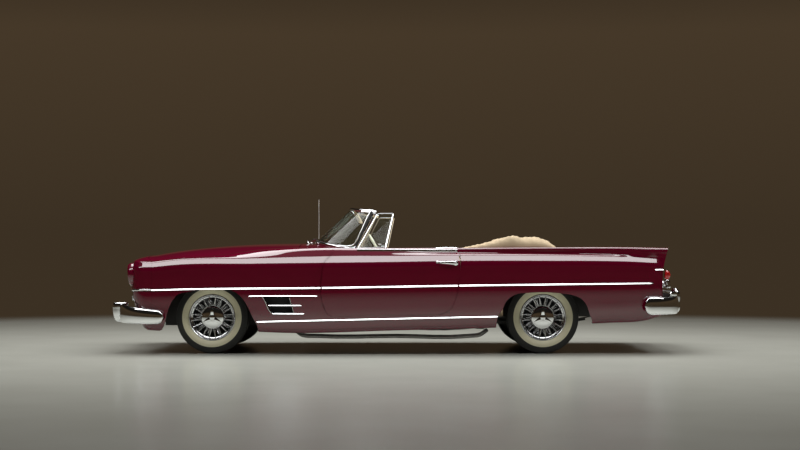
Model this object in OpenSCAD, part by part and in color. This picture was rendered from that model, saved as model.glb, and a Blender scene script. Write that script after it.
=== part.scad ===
// A 1950s open two-door car: pieces at their real size, in millimetres.
// Frame: +X forward, +Y to the car's left, +Z up, origin on the ground under the middle of the car.

/* [Overall] */
// Distance between the front and rear axles
wheelbase = 2921; // [2880:1:2960]
// Front axle's distance ahead of the origin
front_axle_x = 1628; // [1600:1:1650]
// Tyre's outer radius, which is also the height of the axles
tyre_r = 320; // [314:1:326]
// Half of the distance between the middles of the left and right tyres
half_track = 745; // [735:1:750]
// Tyre's width over the sidewalls
tyre_w = 182; // [165:1:190]

/* [Body] */
// Thickness of the fenders' and quarters' skins
skin_t = 8; // [6:0.5:9]
// Gap round the doors, hood and deck lid
shut_gap = 6; // [5:0.5:7]
// Thickness of the hood and the deck lid
lid_t = 12; // [8:1:14]
// Inner face of the doors, measured from the middle of the car
door_inner_y = 845; // [842:1:850]

/* [Steering] */
// Steering wheel's radius
steering_r = 208; // [190:1:212]
// Steering column's angle above the level
column_angle = 30; // [27:1:32]

/* [Hidden] */
$fn = 48;

rear_axle_x = front_axle_x - wheelbase;
axle_z = tyre_r;

paint = "#5a0a1c";
chrome = "#c8ccd0";
canvas = "#c9b48c";
leather = "#d8c7a0";
rubber = "#262626";
steel = "#3c3c3c";

// ---------- interpolation ----------

// Value at x of the smooth curve through the table's [x, value] rows, which rise in x.
function slope_at(t, i) =
    i == 0 ? (t[1][1] - t[0][1]) / (t[1][0] - t[0][0])
    : i == len(t) - 1 ? (t[i][1] - t[i - 1][1]) / (t[i][0] - t[i - 1][0])
    : let (a = t[i][0] - t[i - 1][0], b = t[i + 1][0] - t[i][0])
      ((t[i][1] - t[i - 1][1]) / a * b + (t[i + 1][1] - t[i][1]) / b * a) / (a + b);
function curve(t, x) =
    x <= t[0][0] ? t[0][1] + slope_at(t, 0) * (x - t[0][0])
    : x >= t[len(t) - 1][0] ? t[len(t) - 1][1] + slope_at(t, len(t) - 1) * (x - t[len(t) - 1][0])
    : let (i = max([for (k = [0 : len(t) - 2]) if (t[k][0] <= x) k]),
           h = t[i + 1][0] - t[i][0], s = (x - t[i][0]) / h)
      (2 * s ^ 3 - 3 * s ^ 2 + 1) * t[i][1] + (s ^ 3 - 2 * s ^ 2 + s) * h * slope_at(t, i)
      + (3 * s ^ 2 - 2 * s ^ 3) * t[i + 1][1] + (s ^ 3 - s ^ 2) * h * slope_at(t, i + 1);

// Smooth curve through points p, with n[i] steps from point i to the next.
function chord(p, i) = norm(p[i + 1] - p[i]);
function tangent(p, i) =
    i == 0 ? (p[1] - p[0]) / chord(p, 0)
    : i == len(p) - 1 ? (p[i] - p[i - 1]) / chord(p, i - 1)
    : let (a = chord(p, i - 1), b = chord(p, i))
      ((p[i] - p[i - 1]) / a * b + (p[i + 1] - p[i]) / b * a) / (a + b);
function spline(p, n) = concat([for (i = [0 : len(p) - 2], k = [0 : n[i] - 1])
    let (s = k / n[i], h = chord(p, i))
    (2 * s ^ 3 - 3 * s ^ 2 + 1) * p[i] + (s ^ 3 - 2 * s ^ 2 + s) * h * tangent(p, i)
    + (3 * s ^ 2 - 2 * s ^ 3) * p[i + 1] + (s ^ 3 - s ^ 2) * h * tangent(p, i + 1)], [p[len(p) - 1]]);
function smooth(p, n = 4) = spline(p, [for (i = [1 : len(p)]) n]);

// ---------- the body's lines, each a table of [x, value] ----------

half_width = [[-2400, 884], [-2100, 925], [-1700, 962], [-1293, 985], [-550, 1000], [0, 1003],
    [650, 998], [1250, 985], [1628, 972], [1950, 950], [2150, 925]];
bottom_z = [[-2400, 362], [-2213, 300], [-1864, 275], [-1500, 262], [-747, 230], [0, 211],
    [927, 188], [1300, 200], [2060, 203], [2150, 208]];
rocker_z = [[-2400, 396], [-2213, 373], [-1293, 344], [0, 315], [1300, 285], [2150, 262]];
moulding_z = [[-2400, 627], [-2249, 625], [-546, 604], [666, 584], [1930, 570], [2150, 564]];
shoulder_z = [[-2400, 797], [-2100, 812], [-1293, 820], [-550, 819], [0, 810], [1250, 795],
    [1950, 784], [2150, 765]];
roll_z = [[-2400, 832], [-2100, 850], [-1700, 862], [-550, 871], [650, 853], [1250, 843],
    [1950, 826], [2150, 803]];
roll_in = [[-2400, 24], [-2100, 38], [-1700, 48], [-550, 48], [650, 45], [2150, 48]];
crown_z = [[-2400, 866], [-2100, 872], [-1293, 884], [-550, 890], [650, 887], [863, 884],
    [1250, 870], [1628, 849], [1950, 833], [2150, 812]];
crown_in = [[-2400, 26], [-2100, 46], [-1700, 75], [-1293, 92], [-550, 88], [0, 74], [863, 72],
    [1628, 80], [2150, 88]];
top_z = [[-2400, 926], [-2100, 932], [-1293, 932], [-550, 926], [0, 920], [863, 914], [1250, 890],
    [1628, 859], [1950, 838], [2150, 816]];
top_in = [[-2400, 32], [-2100, 54], [-1700, 84], [-1293, 98], [0, 98], [863, 100], [1628, 120],
    [2150, 128]];
ridge_z = [[-2400, 932], [-2100, 938], [-1293, 938], [-550, 933], [0, 930], [863, 928], [1250, 904],
    [1628, 865], [1950, 841], [2150, 818]];
ridge_in = [[-2400, 46], [-2100, 68], [-1700, 98], [-1293, 112], [0, 112], [863, 128], [1628, 160],
    [2150, 168]];
foot_y = [[-2400, 818], [-2100, 838], [-1700, 846], [-1293, 850], [-900, 858], [-550, 868],
    [0, 868], [400, 868], [650, 826], [863, 815], [1628, 781], [1950, 757], [2150, 735]];
foot_z = [[-2400, 800], [-2330, 812], [-2100, 868], [-1700, 902], [-1293, 922], [-900, 930],
    [-550, 932], [0, 931], [400, 928], [650, 932], [863, 935], [1250, 910], [1628, 867], [1950, 842], [2150, 819]];
edge_y = [[-2400, 745], [-2100, 765], [-1700, 785], [-1293, 795], [-900, 812], [-550, 845],
    [0, 845], [400, 845], [650, 772], [863, 765], [1250, 758], [1628, 748], [1950, 728], [2150, 705]];
edge_z = [[-2400, 780], [-2330, 796], [-2100, 852], [-1700, 891], [-1293, 914], [-900, 926],
    [-550, 931], [0, 931], [400, 926], [650, 934], [863, 938], [1250, 914], [1628, 868], [1950, 842], [2150, 819],
    [2180, 823], [2210, 838], [2240, 865]];

// Feature points [y, z] of the body's section at x, from the curled bottom lip to the top's inner edge.
function section(x) = let (w = curve(half_width, x), b = curve(bottom_z, x), r = curve(rocker_z, x),
    m = curve(moulding_z, x), s = curve(shoulder_z, x))
    [[w - 105, b + 6], [w - 58, b], [w - 20, r], [w - 5, (r + m) / 2], [w, m], [w - 5, (m + s) / 2],
     [w - 16, s], [w - curve(roll_in, x), curve(roll_z, x)],
     [w - curve(crown_in, x), curve(crown_z, x)], [w - curve(top_in, x), curve(top_z, x)],
     [w - curve(ridge_in, x), curve(ridge_z, x)], [curve(foot_y, x), curve(foot_z, x)],
     [curve(edge_y, x), curve(edge_z, x)]];
row_steps = [1, 1, 1, 1, 1, 2, 2, 2, 1, 2, 1, 1];
function side_ring(x) = [for (p = spline(section(x), row_steps)) [x, p[0], p[1]]];

// The nose closes round its corners as superellipses in plan, ahead of nose_x.
nose_x = 2150;
nose_power = 0.47;
nose_taper = 0.12;
nose_points = [[2262, 268], [2268, 262], [2298, 330], [2346, 430], [2378, 560], [2392, 672], [2390, 768],
    [2366, 820], [2344, 838], [2318, 850], [2290, 858], [2266, 864], [2244, 869]];
function nose_ring(a) = let (front = spline(nose_points, row_steps), side = side_ring(nose_x))
    [for (j = [0 : len(side) - 1]) let (ahead = (front[j][0] - nose_x) * cos(a) ^ nose_power)
        [nose_x + ahead, (side[j][1] - nose_taper * ahead) * sin(a) ^ nose_power,
         side[j][2] + (front[j][1] - side[j][2]) * cos(a)]];

// The tail's end follows the slanted rear edge of the fin.
function tail_x(z) = curve([[300, -2352], [560, -2338], [668, -2340], [753, -2347], [870, -2377], [932, -2393]], z);
function tail_ring() = [for (p = spline(section(-2352), row_steps)) [tail_x(p[1]), p[0] - 5, p[1]]];

side_x = [-2330, -2270, -2200, -2100, -2000, -1900, -1800, -1700, -1600, -1500, -1400, -1293, -1190,
    -1090, -990, -890, -790, -690, -620, -549, -450, -300, -150, 0, 150, 300, 420, 540, 645, 750, 850,
    950, 1060, 1160, 1260, 1360, 1450, 1540, 1628, 1720, 1810, 1900, 1980, 2060, 2110, 2150];
function side_rings() = concat([tail_ring()], [for (x = side_x) side_ring(x)],
    [for (a = [80, 69, 57, 44, 30, 15, 0]) nose_ring(a)]);

// Outward normal of a grid g at ring i and row j.
function normal(g, i, j) = let (
    a = g[min(i + 1, len(g) - 1)][j] - g[max(i - 1, 0)][j],
    b = g[i][min(j + 1, len(g[0]) - 1)] - g[i][max(j - 1, 0)],
    n = cross(b, a)) n / norm(n);
function inset(g, t) = [for (i = [0 : len(g) - 1]) [for (j = [0 : len(g[0]) - 1])
    g[i][j] - t * normal(g, i, j)]];

// Closed solid between two grids of the same size, outer seen from outside.
module between(outer, inner) {
    n = len(outer);
    m = len(outer[0]);
    function at(side, i, j) = side * n * m + i * m + j;
    polyhedron(concat([for (r = outer) each r], [for (r = inner) each r]), concat(
        [for (i = [0 : n - 2], j = [0 : m - 2]) each
            [[at(0, i, j), at(0, i + 1, j), at(0, i + 1, j + 1)], [at(0, i, j), at(0, i + 1, j + 1), at(0, i, j + 1)]]],
        [for (i = [0 : n - 2], j = [0 : m - 2]) each
            [[at(1, i, j), at(1, i + 1, j + 1), at(1, i + 1, j)], [at(1, i, j), at(1, i, j + 1), at(1, i + 1, j + 1)]]],
        [for (i = [0 : n - 2]) each
            [[at(0, i, 0), at(1, i, 0), at(1, i + 1, 0)], [at(0, i, 0), at(1, i + 1, 0), at(0, i + 1, 0)],
             [at(0, i, m - 1), at(1, i + 1, m - 1), at(1, i, m - 1)], [at(0, i, m - 1), at(0, i + 1, m - 1), at(1, i + 1, m - 1)]]],
        [for (j = [0 : m - 2]) each
            [[at(0, 0, j), at(1, 0, j + 1), at(1, 0, j)], [at(0, 0, j), at(0, 0, j + 1), at(1, 0, j + 1)],
             [at(0, n - 1, j), at(1, n - 1, j), at(1, n - 1, j + 1)], [at(0, n - 1, j), at(1, n - 1, j + 1), at(0, n - 1, j + 1)]]]));
}

// Left side's skin, and the same side filled in to the plane y = depth.
module side_skin(t = skin_t) {
    g = side_rings();
    between(g, inset(g, t));
}
module side_slab(x0, x1, depth) {
    rings = [for (g = side_rings()) if (g[4][0] >= x0 && g[4][0] <= x1) g];
    m = len(rings[0]) - 1;
    between(rings, [for (r = rings) [for (j = [0 : m])
        [r[j][0], min(depth, r[j][1] - 2), r[0][2] + 2 + (r[m][2] - r[0][2] - 4) * j / m]]]);
}

// ---------- general shapes ----------

// Everything inside is built as one mesh.
module meshed() resize([0, 0, 0]) children();

// The same thing on both sides of the car.
module both_sides() {
    children();
    mirror([0, 1, 0]) children();
}

// A box from its two opposite corners.
module block(low, high) translate(low) cube(high - low);

// A rod from a to b.
module rod(a, b, r) {
    d = b - a;
    translate(a) rotate([0, acos(d[2] / norm(d)), atan2(d[1], d[0])]) cylinder(r = r, h = norm(d));
}

// A smooth tube along path, with an oval section: a across and b in the upright direction.
module tube(path, a, b, sides = 10) {
    n = len(path);
    function along(i) = let (d = path[min(i + 1, n - 1)] - path[max(i - 1, 0)]) d / norm(d);
    function across(i) = let (c = cross(along(i), [0, 0, 1])) c / norm(c);
    points = [for (i = [0 : n - 1], k = [0 : sides - 1]) let (u = across(i), v = cross(u, along(i)))
        path[i] + a * cos(360 * k / sides) * u + b * sin(360 * k / sides) * v];
    polyhedron(points, concat([[for (k = [sides - 1 : -1 : 0]) k]],
        [for (i = [0 : n - 2], k = [0 : sides - 1]) let (p = i * sides, k2 = (k + 1) % sides) each
            [[p + k, p + k2, p + sides + k], [p + k2, p + sides + k2, p + sides + k]]],
        [[for (k = [0 : sides - 1]) (n - 1) * sides + k]]));
}

// The outline children, given in x and z, pushed from y = low to y = high.
module side_prism(low, high) translate([0, high, 0]) rotate([90, 0, 0]) linear_extrude(high - low) children();

// ---------- outlines on the side, in x and z ----------

door_front = [[540, 1010], [550, 940], [565, 879], [629, 800], [650, 695], [657, 537], [651, 485],
    [629, 410], [596, 349], [553, 324]];
door_rear = [[-384, 345], [-470, 395], [-519, 506], [-544, 641], [-563, 825], [-550, 911], [-540, 1010]];
module door_outline() polygon(concat(smooth(door_front, 3), smooth(door_rear, 3)));

front_arch = [[2100, 150], [2078, 192], [2044, 212], [2022, 252], [2014, 300], [1972, 451], [1915, 523],
    [1804, 551], [1414, 550], [1357, 507], [1306, 434], [1256, 328], [1217, 250], [1205, 150]];
rear_arch = [[-872, 150], [-872, 241], [-891, 345], [-919, 384], [-963, 473], [-1047, 529], [-1147, 540],
    [-1421, 537], [-1544, 518], [-1611, 490], [-1650, 451], [-1689, 356], [-1711, 295], [-1729, 200]];
module arch(points) polygon(concat(smooth(points, 3), [[points[len(points) - 1][0], 100], [points[0][0], 100]]));

split_front = 598;
split_rear = -470;
module sill_outline() difference() {
    translate([split_rear, 100]) square([split_front - split_rear - 1, 300]);
    door_outline();
}

// ---------- body panels ----------

// Body side's skin where the outline children, in x and z, covers it.
module side_panel(low = 0) meshed() intersection() {
    side_skin();
    side_prism(low, 1100) children();
}

module front_fender() side_panel() difference() {
    translate([540, 100]) square([nose_x - 543, 900]);
    door_outline();
    translate([0, 0]) square([split_front, 400]);
    arch(front_arch);
}

module quarter_panel() side_panel() difference() {
    translate([-2500, 100]) square([2060, 900]);
    door_outline();
    translate([split_rear - 1, 0]) square([600, 420]);
    arch(rear_arch);
}

module front_fender_left() color(paint) front_fender();
module front_fender_right() color(paint) mirror([0, 1, 0]) front_fender();
module quarter_panel_left() color(paint) quarter_panel();
module quarter_panel_right() color(paint) mirror([0, 1, 0]) quarter_panel();

module sills() color(paint) both_sides() {
    meshed() intersection() {
        side_skin();
        side_prism(800, 1100) sill_outline();
    }
    block([split_rear + 2, 850, 232], [split_front - 4, 862, 312]);
}

// The nose's whole front, from side to side, with its grille opening and its lamp holes.
lamp_y = 742;
lamp_z = 695;
lamp_r = 92;
grille_half = 470;
grille_low = 440;
grille_high = 640;
module nose_panel() color(paint) meshed() difference() {
    rings = concat([for (a = [90, 80, 69, 57, 44, 30, 15]) nose_ring(a)],
        [for (a = [0, 15, 30, 44, 57, 69, 80, 90]) [for (p = nose_ring(a)) [p[0], -p[1], p[2]]]]);
    between(rings, inset(rings, skin_t));
    translate([2100, -grille_half, grille_low]) rotate([90, 0, 90]) linear_extrude(400)
        offset(70) translate([70, 70]) square([2 * grille_half - 140, grille_high - grille_low - 140]);
    both_sides() translate([2100, lamp_y, lamp_z]) rotate([0, 90, 0]) cylinder(r = lamp_r, h = 400);
    both_sides() block([2200, 450, 300], [2500, 560, 400]);
}

// A lid with rings at xs: half(x) gives its half width, centre the crown's table and side the edges'.
module lid(xs, halves, centre, side, thick) {
    rings = [for (i = [0 : len(xs) - 1]) let (x = xs[i], w = halves[i], c = curve(centre, x), e = curve(side, x))
        [for (k = [0 : 12]) let (v = 1 - k / 6) [x, v * w, e + (c - e) * (1 - abs(v) ^ 2.4)]]];
    between(rings, inset(rings, thick));
}

hood_rear = 866;
hood_top = [[860, 980], [947, 980], [1140, 977], [1360, 969], [1635, 951], [1911, 924], [2048, 906],
    [2150, 888], [2200, 877], [2240, 868]];
hood_reach = 2239 - nose_x;
hood_corner = 2 / nose_power;
hood_x = [hood_rear, 960, 1080, 1200, 1320, 1440, 1560, 1680, 1800, 1900, 2000, 2080, 2150, 2190, 2215, 2224, 2229];
function hood_half(x) = x <= nose_x ? curve(edge_y, x) - shut_gap
    : (curve(edge_y, nose_x) - shut_gap - nose_taper * (x - nose_x))
      * (1 - ((x - nose_x) / hood_reach) ^ hood_corner) ^ (1 / hood_corner);
module hood() color(paint) {
    lid(hood_x, [for (x = hood_x) hood_half(x)], hood_top, edge_z, lid_t);
}

lid_front = -1470;
lid_rear = -2322;
deck_top = [[-2400, 785], [-2322, 812], [-2250, 835], [-2100, 868], [-1900, 890], [-1700, 905], [-1470, 918],
    [-1293, 928], [-1000, 934]];
deck_x = [lid_rear, -2280, -2210, -2120, -2020, -1910, -1790, -1680, -1570, lid_front];
module deck_lid() color(paint)
    lid(deck_x, [for (x = deck_x) curve(edge_y, x) - shut_gap], deck_top, edge_z, lid_t);

tonneau_x = [lid_front + shut_gap, -1380, -1290, -1200, -1110, -1040];
module tonneau_panel() color(paint)
    lid(tonneau_x, [for (x = tonneau_x) curve(edge_y, x) - 2], deck_top, edge_z, lid_t);

cowl_x = [500, 560, 620, 680, 740, 800, hood_rear - shut_gap];
cowl_top = [[500, 962], [680, 975], [860, 980]];
cowl_side = [[500, 906], [560, 917], [650, 933], [860, 938]];
module cowl_panel() color(paint) {
    lid(cowl_x, [for (x = cowl_x) curve(edge_y, x) - 3], cowl_top, cowl_side, 8);
    block([hood_rear - 40, -640, 300], [hood_rear - 30, 640, 925]);
    both_sides() {
        block([508, 740, 330], [hood_rear - 42, 750, 895]);
        block([352, 774, 700], [520, 794, 902]);
        block([508, 740, 700], [520, 794, 895]);
    }
}

// The panel that closes the tail under the deck lid.
function tail_bow(y) = 34 * (1 - (y / 860) ^ 2);
tail_z = [384, 430, 500, 560, 620, 680, 740, 790];
tail_half = 834;
module tail_panel() color(paint) meshed() {
    rings = [for (k = [0 : 12]) let (y = tail_half * (k / 6 - 1))
        [for (z = tail_z) [tail_x(z) + 4 - tail_bow(y), y, z - 6 * (y / tail_half) ^ 2]]];
    difference() {
        between(rings, inset(rings, skin_t));
        both_sides() {
            block([-2420, 425, 390], [-2290, 495, 470]);
            block([-2420, 730, 774], [-2290, 860, 800]);
        }
    }
}

// ---------- doors ----------

// The door's rear face slants, so that its inner corner clears the jamb as it swings.
jamb_slant = 26;
roll_top = 862;
module door() meshed() difference() {
    intersection() {
        side_slab(-700, 760, door_inner_y);
        side_prism(door_inner_y - 20, 1100) offset(delta = -shut_gap) door_outline();
    }
    translate([-600, door_inner_y - 30, 0]) linear_extrude(roll_top)
        polygon([[-60, 0], [jamb_slant + 76, 0], [30, 190], [-60, 190]]);
}
module door_left() color(paint) door();
module door_right() color(paint) mirror([0, 1, 0]) door();

// Vent window on the door: frame of chrome rod round a pane.
vent_foot = [338, 852, 933];
vent_peak = [172, 668, 1240];
vent_back_top = [30, 690, 1240];
vent_back_foot = [96, 855, 937];
module vent_window() color(chrome) meshed() {
    $fn = 20;
    rod(vent_foot, vent_peak, 7);
    rod(vent_peak, vent_back_top, 7);
    rod(vent_back_foot, vent_back_top, 8);
    for (p = [vent_peak, vent_back_top]) translate(p) sphere(8);
    pane([vent_foot, vent_peak, vent_back_top, vent_back_foot], 4);
}
// A flat four-cornered pane.
module pane(p, t) {
    n = cross(p[1] - p[0], p[3] - p[0]);
    d = n / norm(n) * t / 2;
    hull() {
        for (q = p) {
            translate(q + d) cube(0.2, center = true);
            translate(q - d) cube(0.2, center = true);
        }
    }
}
module vent_window_left() vent_window();
module vent_window_right() mirror([0, 1, 0]) vent_window();

// ---------- windshield ----------

glass_low = smooth([[744, 0, 1003], [736, 250, 1000], [706, 450, 992], [642, 610, 976], [520, 722, 952],
    [372, 786, 926]], 3);
glass_high = smooth([[440, 0, 1290], [434, 200, 1288], [405, 380, 1281], [345, 500, 1270],
    [272, 580, 1262], [204, 630, 1256]], 3);
module windshield_frame() color(chrome) {
    low = concat([for (k = [len(glass_low) - 1 : -1 : 1]) glass_low[k]],
        [for (p = glass_low) [p[0], -p[1], p[2]]]);
    high = concat([for (k = [len(glass_high) - 1 : -1 : 1]) glass_high[k]],
        [for (p = glass_high) [p[0], -p[1], p[2]]]);
    tube([for (p = low) p + [0, 0, -10]], 9, 12);
    tube([for (p = high) p + [0, 0, 8]], 10, 12);
    both_sides() rod(glass_low[len(glass_low) - 1] + [2, 2, -10], glass_high[len(glass_high) - 1] + [2, 2, 6], 10);
}
module windshield_glass() color("#a9bcc0") {
    inner = 1;
    both = [for (k = [len(glass_low) - 2 : -1 : 1 - len(glass_low) + 1]) let (s = k < 0 ? -1 : 1, i = abs(k))
        [for (v = [0 : 4]) let (q = 0.02 + 0.96 * v / 4, p = glass_low[i] * (1 - q) + glass_high[i] * q)
            [p[0], s * p[1], p[2]]]];
    turned = [for (k = [len(both) - 1 : -1 : 0]) both[k]];
    between(turned, [for (r = turned) [for (p = r) p - [5, 0, 2]]]);
}

// ---------- bumpers ----------

bumper_path = smooth([[2040, 968, 325], [2200, 962, 332], [2330, 905, 340], [2430, 760, 348],
    [2478, 620, 352], [2490, 560, 353]], 4);
module bumper_front() color(chrome) both_sides() {
    tube(bumper_path, 18, 62, 12);
    hull() {
        translate([2515, 560, 404]) sphere(43, $fn = 18);
        translate([2452, 560, 404]) sphere(44, $fn = 18);
        translate([2495, 560, 296]) sphere(26, $fn = 18);
    }
    rod([2150, 430, 325], [2470, 540, 360], 16);
}
rear_bumper_path = smooth([[-2166, 966, 440], [-2300, 955, 440], [-2420, 880, 442], [-2500, 700, 446],
    [-2526, 480, 448], [-2532, 240, 448]], 4);
plate_bolt_r = 3.5;
plate_half = 88.9;
module bumper_rear() color(chrome) {
    both_sides() {
        tube(rear_bumper_path, 17, 66, 12);
        hull() {
            translate([-2520, 520, 520]) sphere(38, $fn = 18);
            translate([-2528, 520, 420]) sphere(30, $fn = 18);
        }
        rod([-2280, 430, 420], [-2510, 480, 440], 18);
    }
    plate_bracket(-2520, 448);
}
// Number plate's bracket, with its two bolt holes, across the rear bumper's middle.
module plate_bracket(x, z) difference() {
    block([x - 4, -250, z - 70], [x, 250, z + 70]);
    for (y = [-plate_half, plate_half])
        translate([x - 10, y, z + 45]) rotate([0, 90, 0]) cylinder(r = plate_bolt_r, h = 20);
}

// ---------- front and rear fittings ----------

module headlamps() color(chrome) both_sides() translate([2228, lamp_y, lamp_z]) rotate([0, 90, 0]) {
    cylinder(r = lamp_r - 1, h = 128);
    translate([0, 0, 120]) scale([1, 1, 0.3]) sphere(lamp_r - 8);
}
module grille() color(chrome) {
    for (y = [-420 : 70 : 420]) block([2236, y - 5, grille_low + 6], [2262, y + 5, grille_high - 6]);
    for (z = [490, 540, 590]) block([2240, -grille_half + 8, z - 5], [2258, grille_half - 8, z + 5]);
}
module radiator() color(steel) {
    block([2120, -330, 330], [2190, 330, 760]);
    block([2142, -400, 300], [2190, 400, 330]);
}
module tail_lamps() color("#a01010") both_sides() meshed() difference() {
    hull() {
        translate([-2372, 850, 738]) scale([1, 1, 1]) sphere(26, $fn = 18);
        translate([-2366, 852, 664]) sphere(26, $fn = 18);
    }
    block([-2362, 780, 600], [-2300, 900, 800]);
}
module antenna() color(chrome) {
    translate([767, -700, 952]) cylinder(r = 12, h = 14);
    translate([767, -700, 960]) cylinder(r = 2.5, h = 460);
}

// ---------- chassis ----------

rail_y = 385;
jack_r = 40;
jack_x = [1000, -760];
rail_path = [[-2260, 330], [-1780, 400], [-1560, 480], [-1020, 480], [-800, 250], [900, 250], [1150, 270],
    [1560, 300], [2140, 310]];
module chassis_frame() color(steel) {
    both_sides() {
        rotate([90, 0, 0]) translate([0, 0, -rail_y - 40]) linear_extrude(80) polygon(concat(
            [for (p = rail_path) p - [0, 45]], [for (k = [len(rail_path) - 1 : -1 : 0]) rail_path[k] + [0, 45]]));
        for (x = jack_x) translate([x, rail_y, 0]) {
            translate([0, 0, x > 0 ? 190 : 200]) cylinder(r = jack_r, h = 30);
        }
        block([-560, rail_y, 225], [-500, 849, 265]);
        block([520, rail_y, 225], [580, 849, 265]);
    }
    for (x = [-2230, -1480, -700, 820, 2080]) {
        z = x < -2000 ? 330 : x < -1000 ? 480 : x > 2000 ? 310 : 250;
        block([x - 30, -rail_y, z - 35], [x + 30, rail_y, z + 35]);
    }
}
module floor_pan() color(steel) {
    difference() {
        union() {
            block([-960, -842, 318], [822, 842, 322]);
            block([-972, -150, 300], [822, 150, 400]);
            block([-972, -590, 318], [-960, 590, 536]);
        }
        block([-980, -138, 260], [900, 138, 388]);
        both_sides() block([-980, 338, 310], [-812, 432, 545]);
    }
    block([-2330, -590, 530], [-960, 590, 536]);
}
module wheelhouses() color(steel) both_sides() {
    difference() {
        side_prism(446, 452) polygon([[1152, 235], [1380, 235], [1380, 360], [1900, 360], [1900, 235],
            [2096, 235], [2096, 800], [1152, 800]]);
        block([front_axle_x - 110, 440, 395], [front_axle_x + 110, 460, 485]);
    }
    difference() {
        translate([rear_axle_x, 596, axle_z + 12]) rotate([-90, 0, 0]) cylinder(r = 392, h = 330);
        translate([rear_axle_x, 602, axle_z + 12]) rotate([-90, 0, 0]) cylinder(r = 386, h = 340);
        block([rear_axle_x - 500, 560, -100], [rear_axle_x + 500, 960, 545]);
    }
    block([rear_axle_x - 330, 596, 536], [rear_axle_x + 330, 602, 546]);
}
module engine() color(steel) block([1020, -250, 370], [1720, 250, 800]);
shaft_z = 335;
module driveline() color(steel) {
    translate([-1150, 0, shaft_z]) rotate([0, 90, 0]) cylinder(r = 36, h = 1750);
    translate([600, 0, shaft_z + 4]) rotate([0, 90, 0]) cylinder(r = 46, h = 200);
}
module fuel_tank() color(steel) block([-2160, -330, 330], [-1820, 330, 510]);

// Side exhaust pipes under the sills.
exhaust_path = smooth([[930, 640, 262], [905, 740, 216], [838, 790, 166], [700, 800, 156], [0, 800, 156],
    [-640, 800, 156], [-740, 790, 168], [-800, 740, 205]], 4);
module exhaust() color(chrome) both_sides() tube(exhaust_path, 19, 19, 8);

// ---------- wheels ----------

rim_r = 203;
bead_r = 190.5;
spindle_r = 16;
spindle_bore_r = 16.05;
kingpin_r = 14;
kingpin_bore_r = 14.05;
kingpin_y = 645;
spokes = 16;

// Tyre about Y, hollow like the real one, with its middle at the origin.
tyre_profile = [[192, -62], [204.5, -68], [206, -80], [238, -91], [270, -91], [298, -84], [313, -66],
    [319, -40], [320, 0], [319, 40], [313, 66], [298, 84], [270, 91], [238, 91], [206, 80], [204.5, 68],
    [192, 62], [192, 50], [212, 60], [243, 76], [274, 74], [294, 62], [303, 36], [305, 0], [303, -36],
    [294, -62], [274, -74], [243, -76], [212, -60], [192, -50]];
module tyre() color(rubber) rotate([-90, 0, 0]) rotate_extrude($fn = 72)
    polygon([for (p = tyre_profile) [p[0] + (p[0] > bead_r + 10 ? (tyre_r - 320) * (p[0] - bead_r) / 130 : 0),
        p[1] * tyre_w / 182]]);

// Wire wheel about Y, with its outer face towards +Y and its middle at the origin.
rim_profile = [[192, -76], [203, -76], [203, -70], [194, -66], [191, -64], [191, -46], [184, -40], [170, -30],
    [167, -20], [167, 20], [170, 30], [184, 40], [191, 46], [191, 64], [194, 66], [203, 70], [203, 76],
    [192, 76], [186, 68], [186, 50], [180, 44], [165, 34], [161, 22], [161, -22], [165, -34], [180, -44],
    [186, -50], [186, -68]];
module wheel() color(chrome) {
    rotate([-90, 0, 0]) difference() {
        union() {
            translate([0, 0, -42]) cylinder(r = 44, h = 92);
            translate([0, 0, -59]) cylinder(r = 140, h = 22);
            translate([0, 0, 46]) cylinder(r1 = 104, r2 = 60, h = 16);
            translate([0, 0, 60]) cylinder(r = 34, h = 18);
        }
        translate([0, 0, -60]) cylinder(r = spindle_bore_r, h = 76);
    }
    rotate([-90, 0, 0]) rotate_extrude($fn = 72) polygon(rim_profile);
    for (k = [0 : spokes - 1]) rotate([0, 360 * k / spokes, 0]) {
        rod([40, -18, 0], [164 * cos(12), -8, 164 * sin(12)], 4);
        rod([40, 34, 0], [164 * cos(-12), 10, 164 * sin(-12)], 4);
    }
}
module at_wheel(x, side) translate([x, side * half_track, axle_z]) children();
module wheel_front_left() at_wheel(front_axle_x, 1) wheel();
module wheel_front_right() at_wheel(front_axle_x, -1) mirror([0, 1, 0]) wheel();
module wheel_rear_left() at_wheel(rear_axle_x, 1) wheel();
module wheel_rear_right() at_wheel(rear_axle_x, -1) mirror([0, 1, 0]) wheel();
module tyre_front_left() at_wheel(front_axle_x, 1) tyre();
module tyre_front_right() at_wheel(front_axle_x, -1) tyre();
module tyre_rear_left() at_wheel(rear_axle_x, 1) tyre();
module tyre_rear_right() at_wheel(rear_axle_x, -1) tyre();

module knuckle() color(steel) {
    translate([front_axle_x, kingpin_y, axle_z - 128]) cylinder(r = kingpin_r, h = 256);
    translate([front_axle_x, kingpin_y, axle_z - 80]) cylinder(r = 22, h = 160);
    translate([front_axle_x, kingpin_y, axle_z]) rotate([-90, 0, 0]) {
        cylinder(r = spindle_r, h = half_track - kingpin_y + 12);
        translate([0, 0, 30]) cylinder(r = 150, h = 6);
    }
}
module knuckle_left() knuckle();
module knuckle_right() mirror([0, 1, 0]) knuckle();

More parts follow.
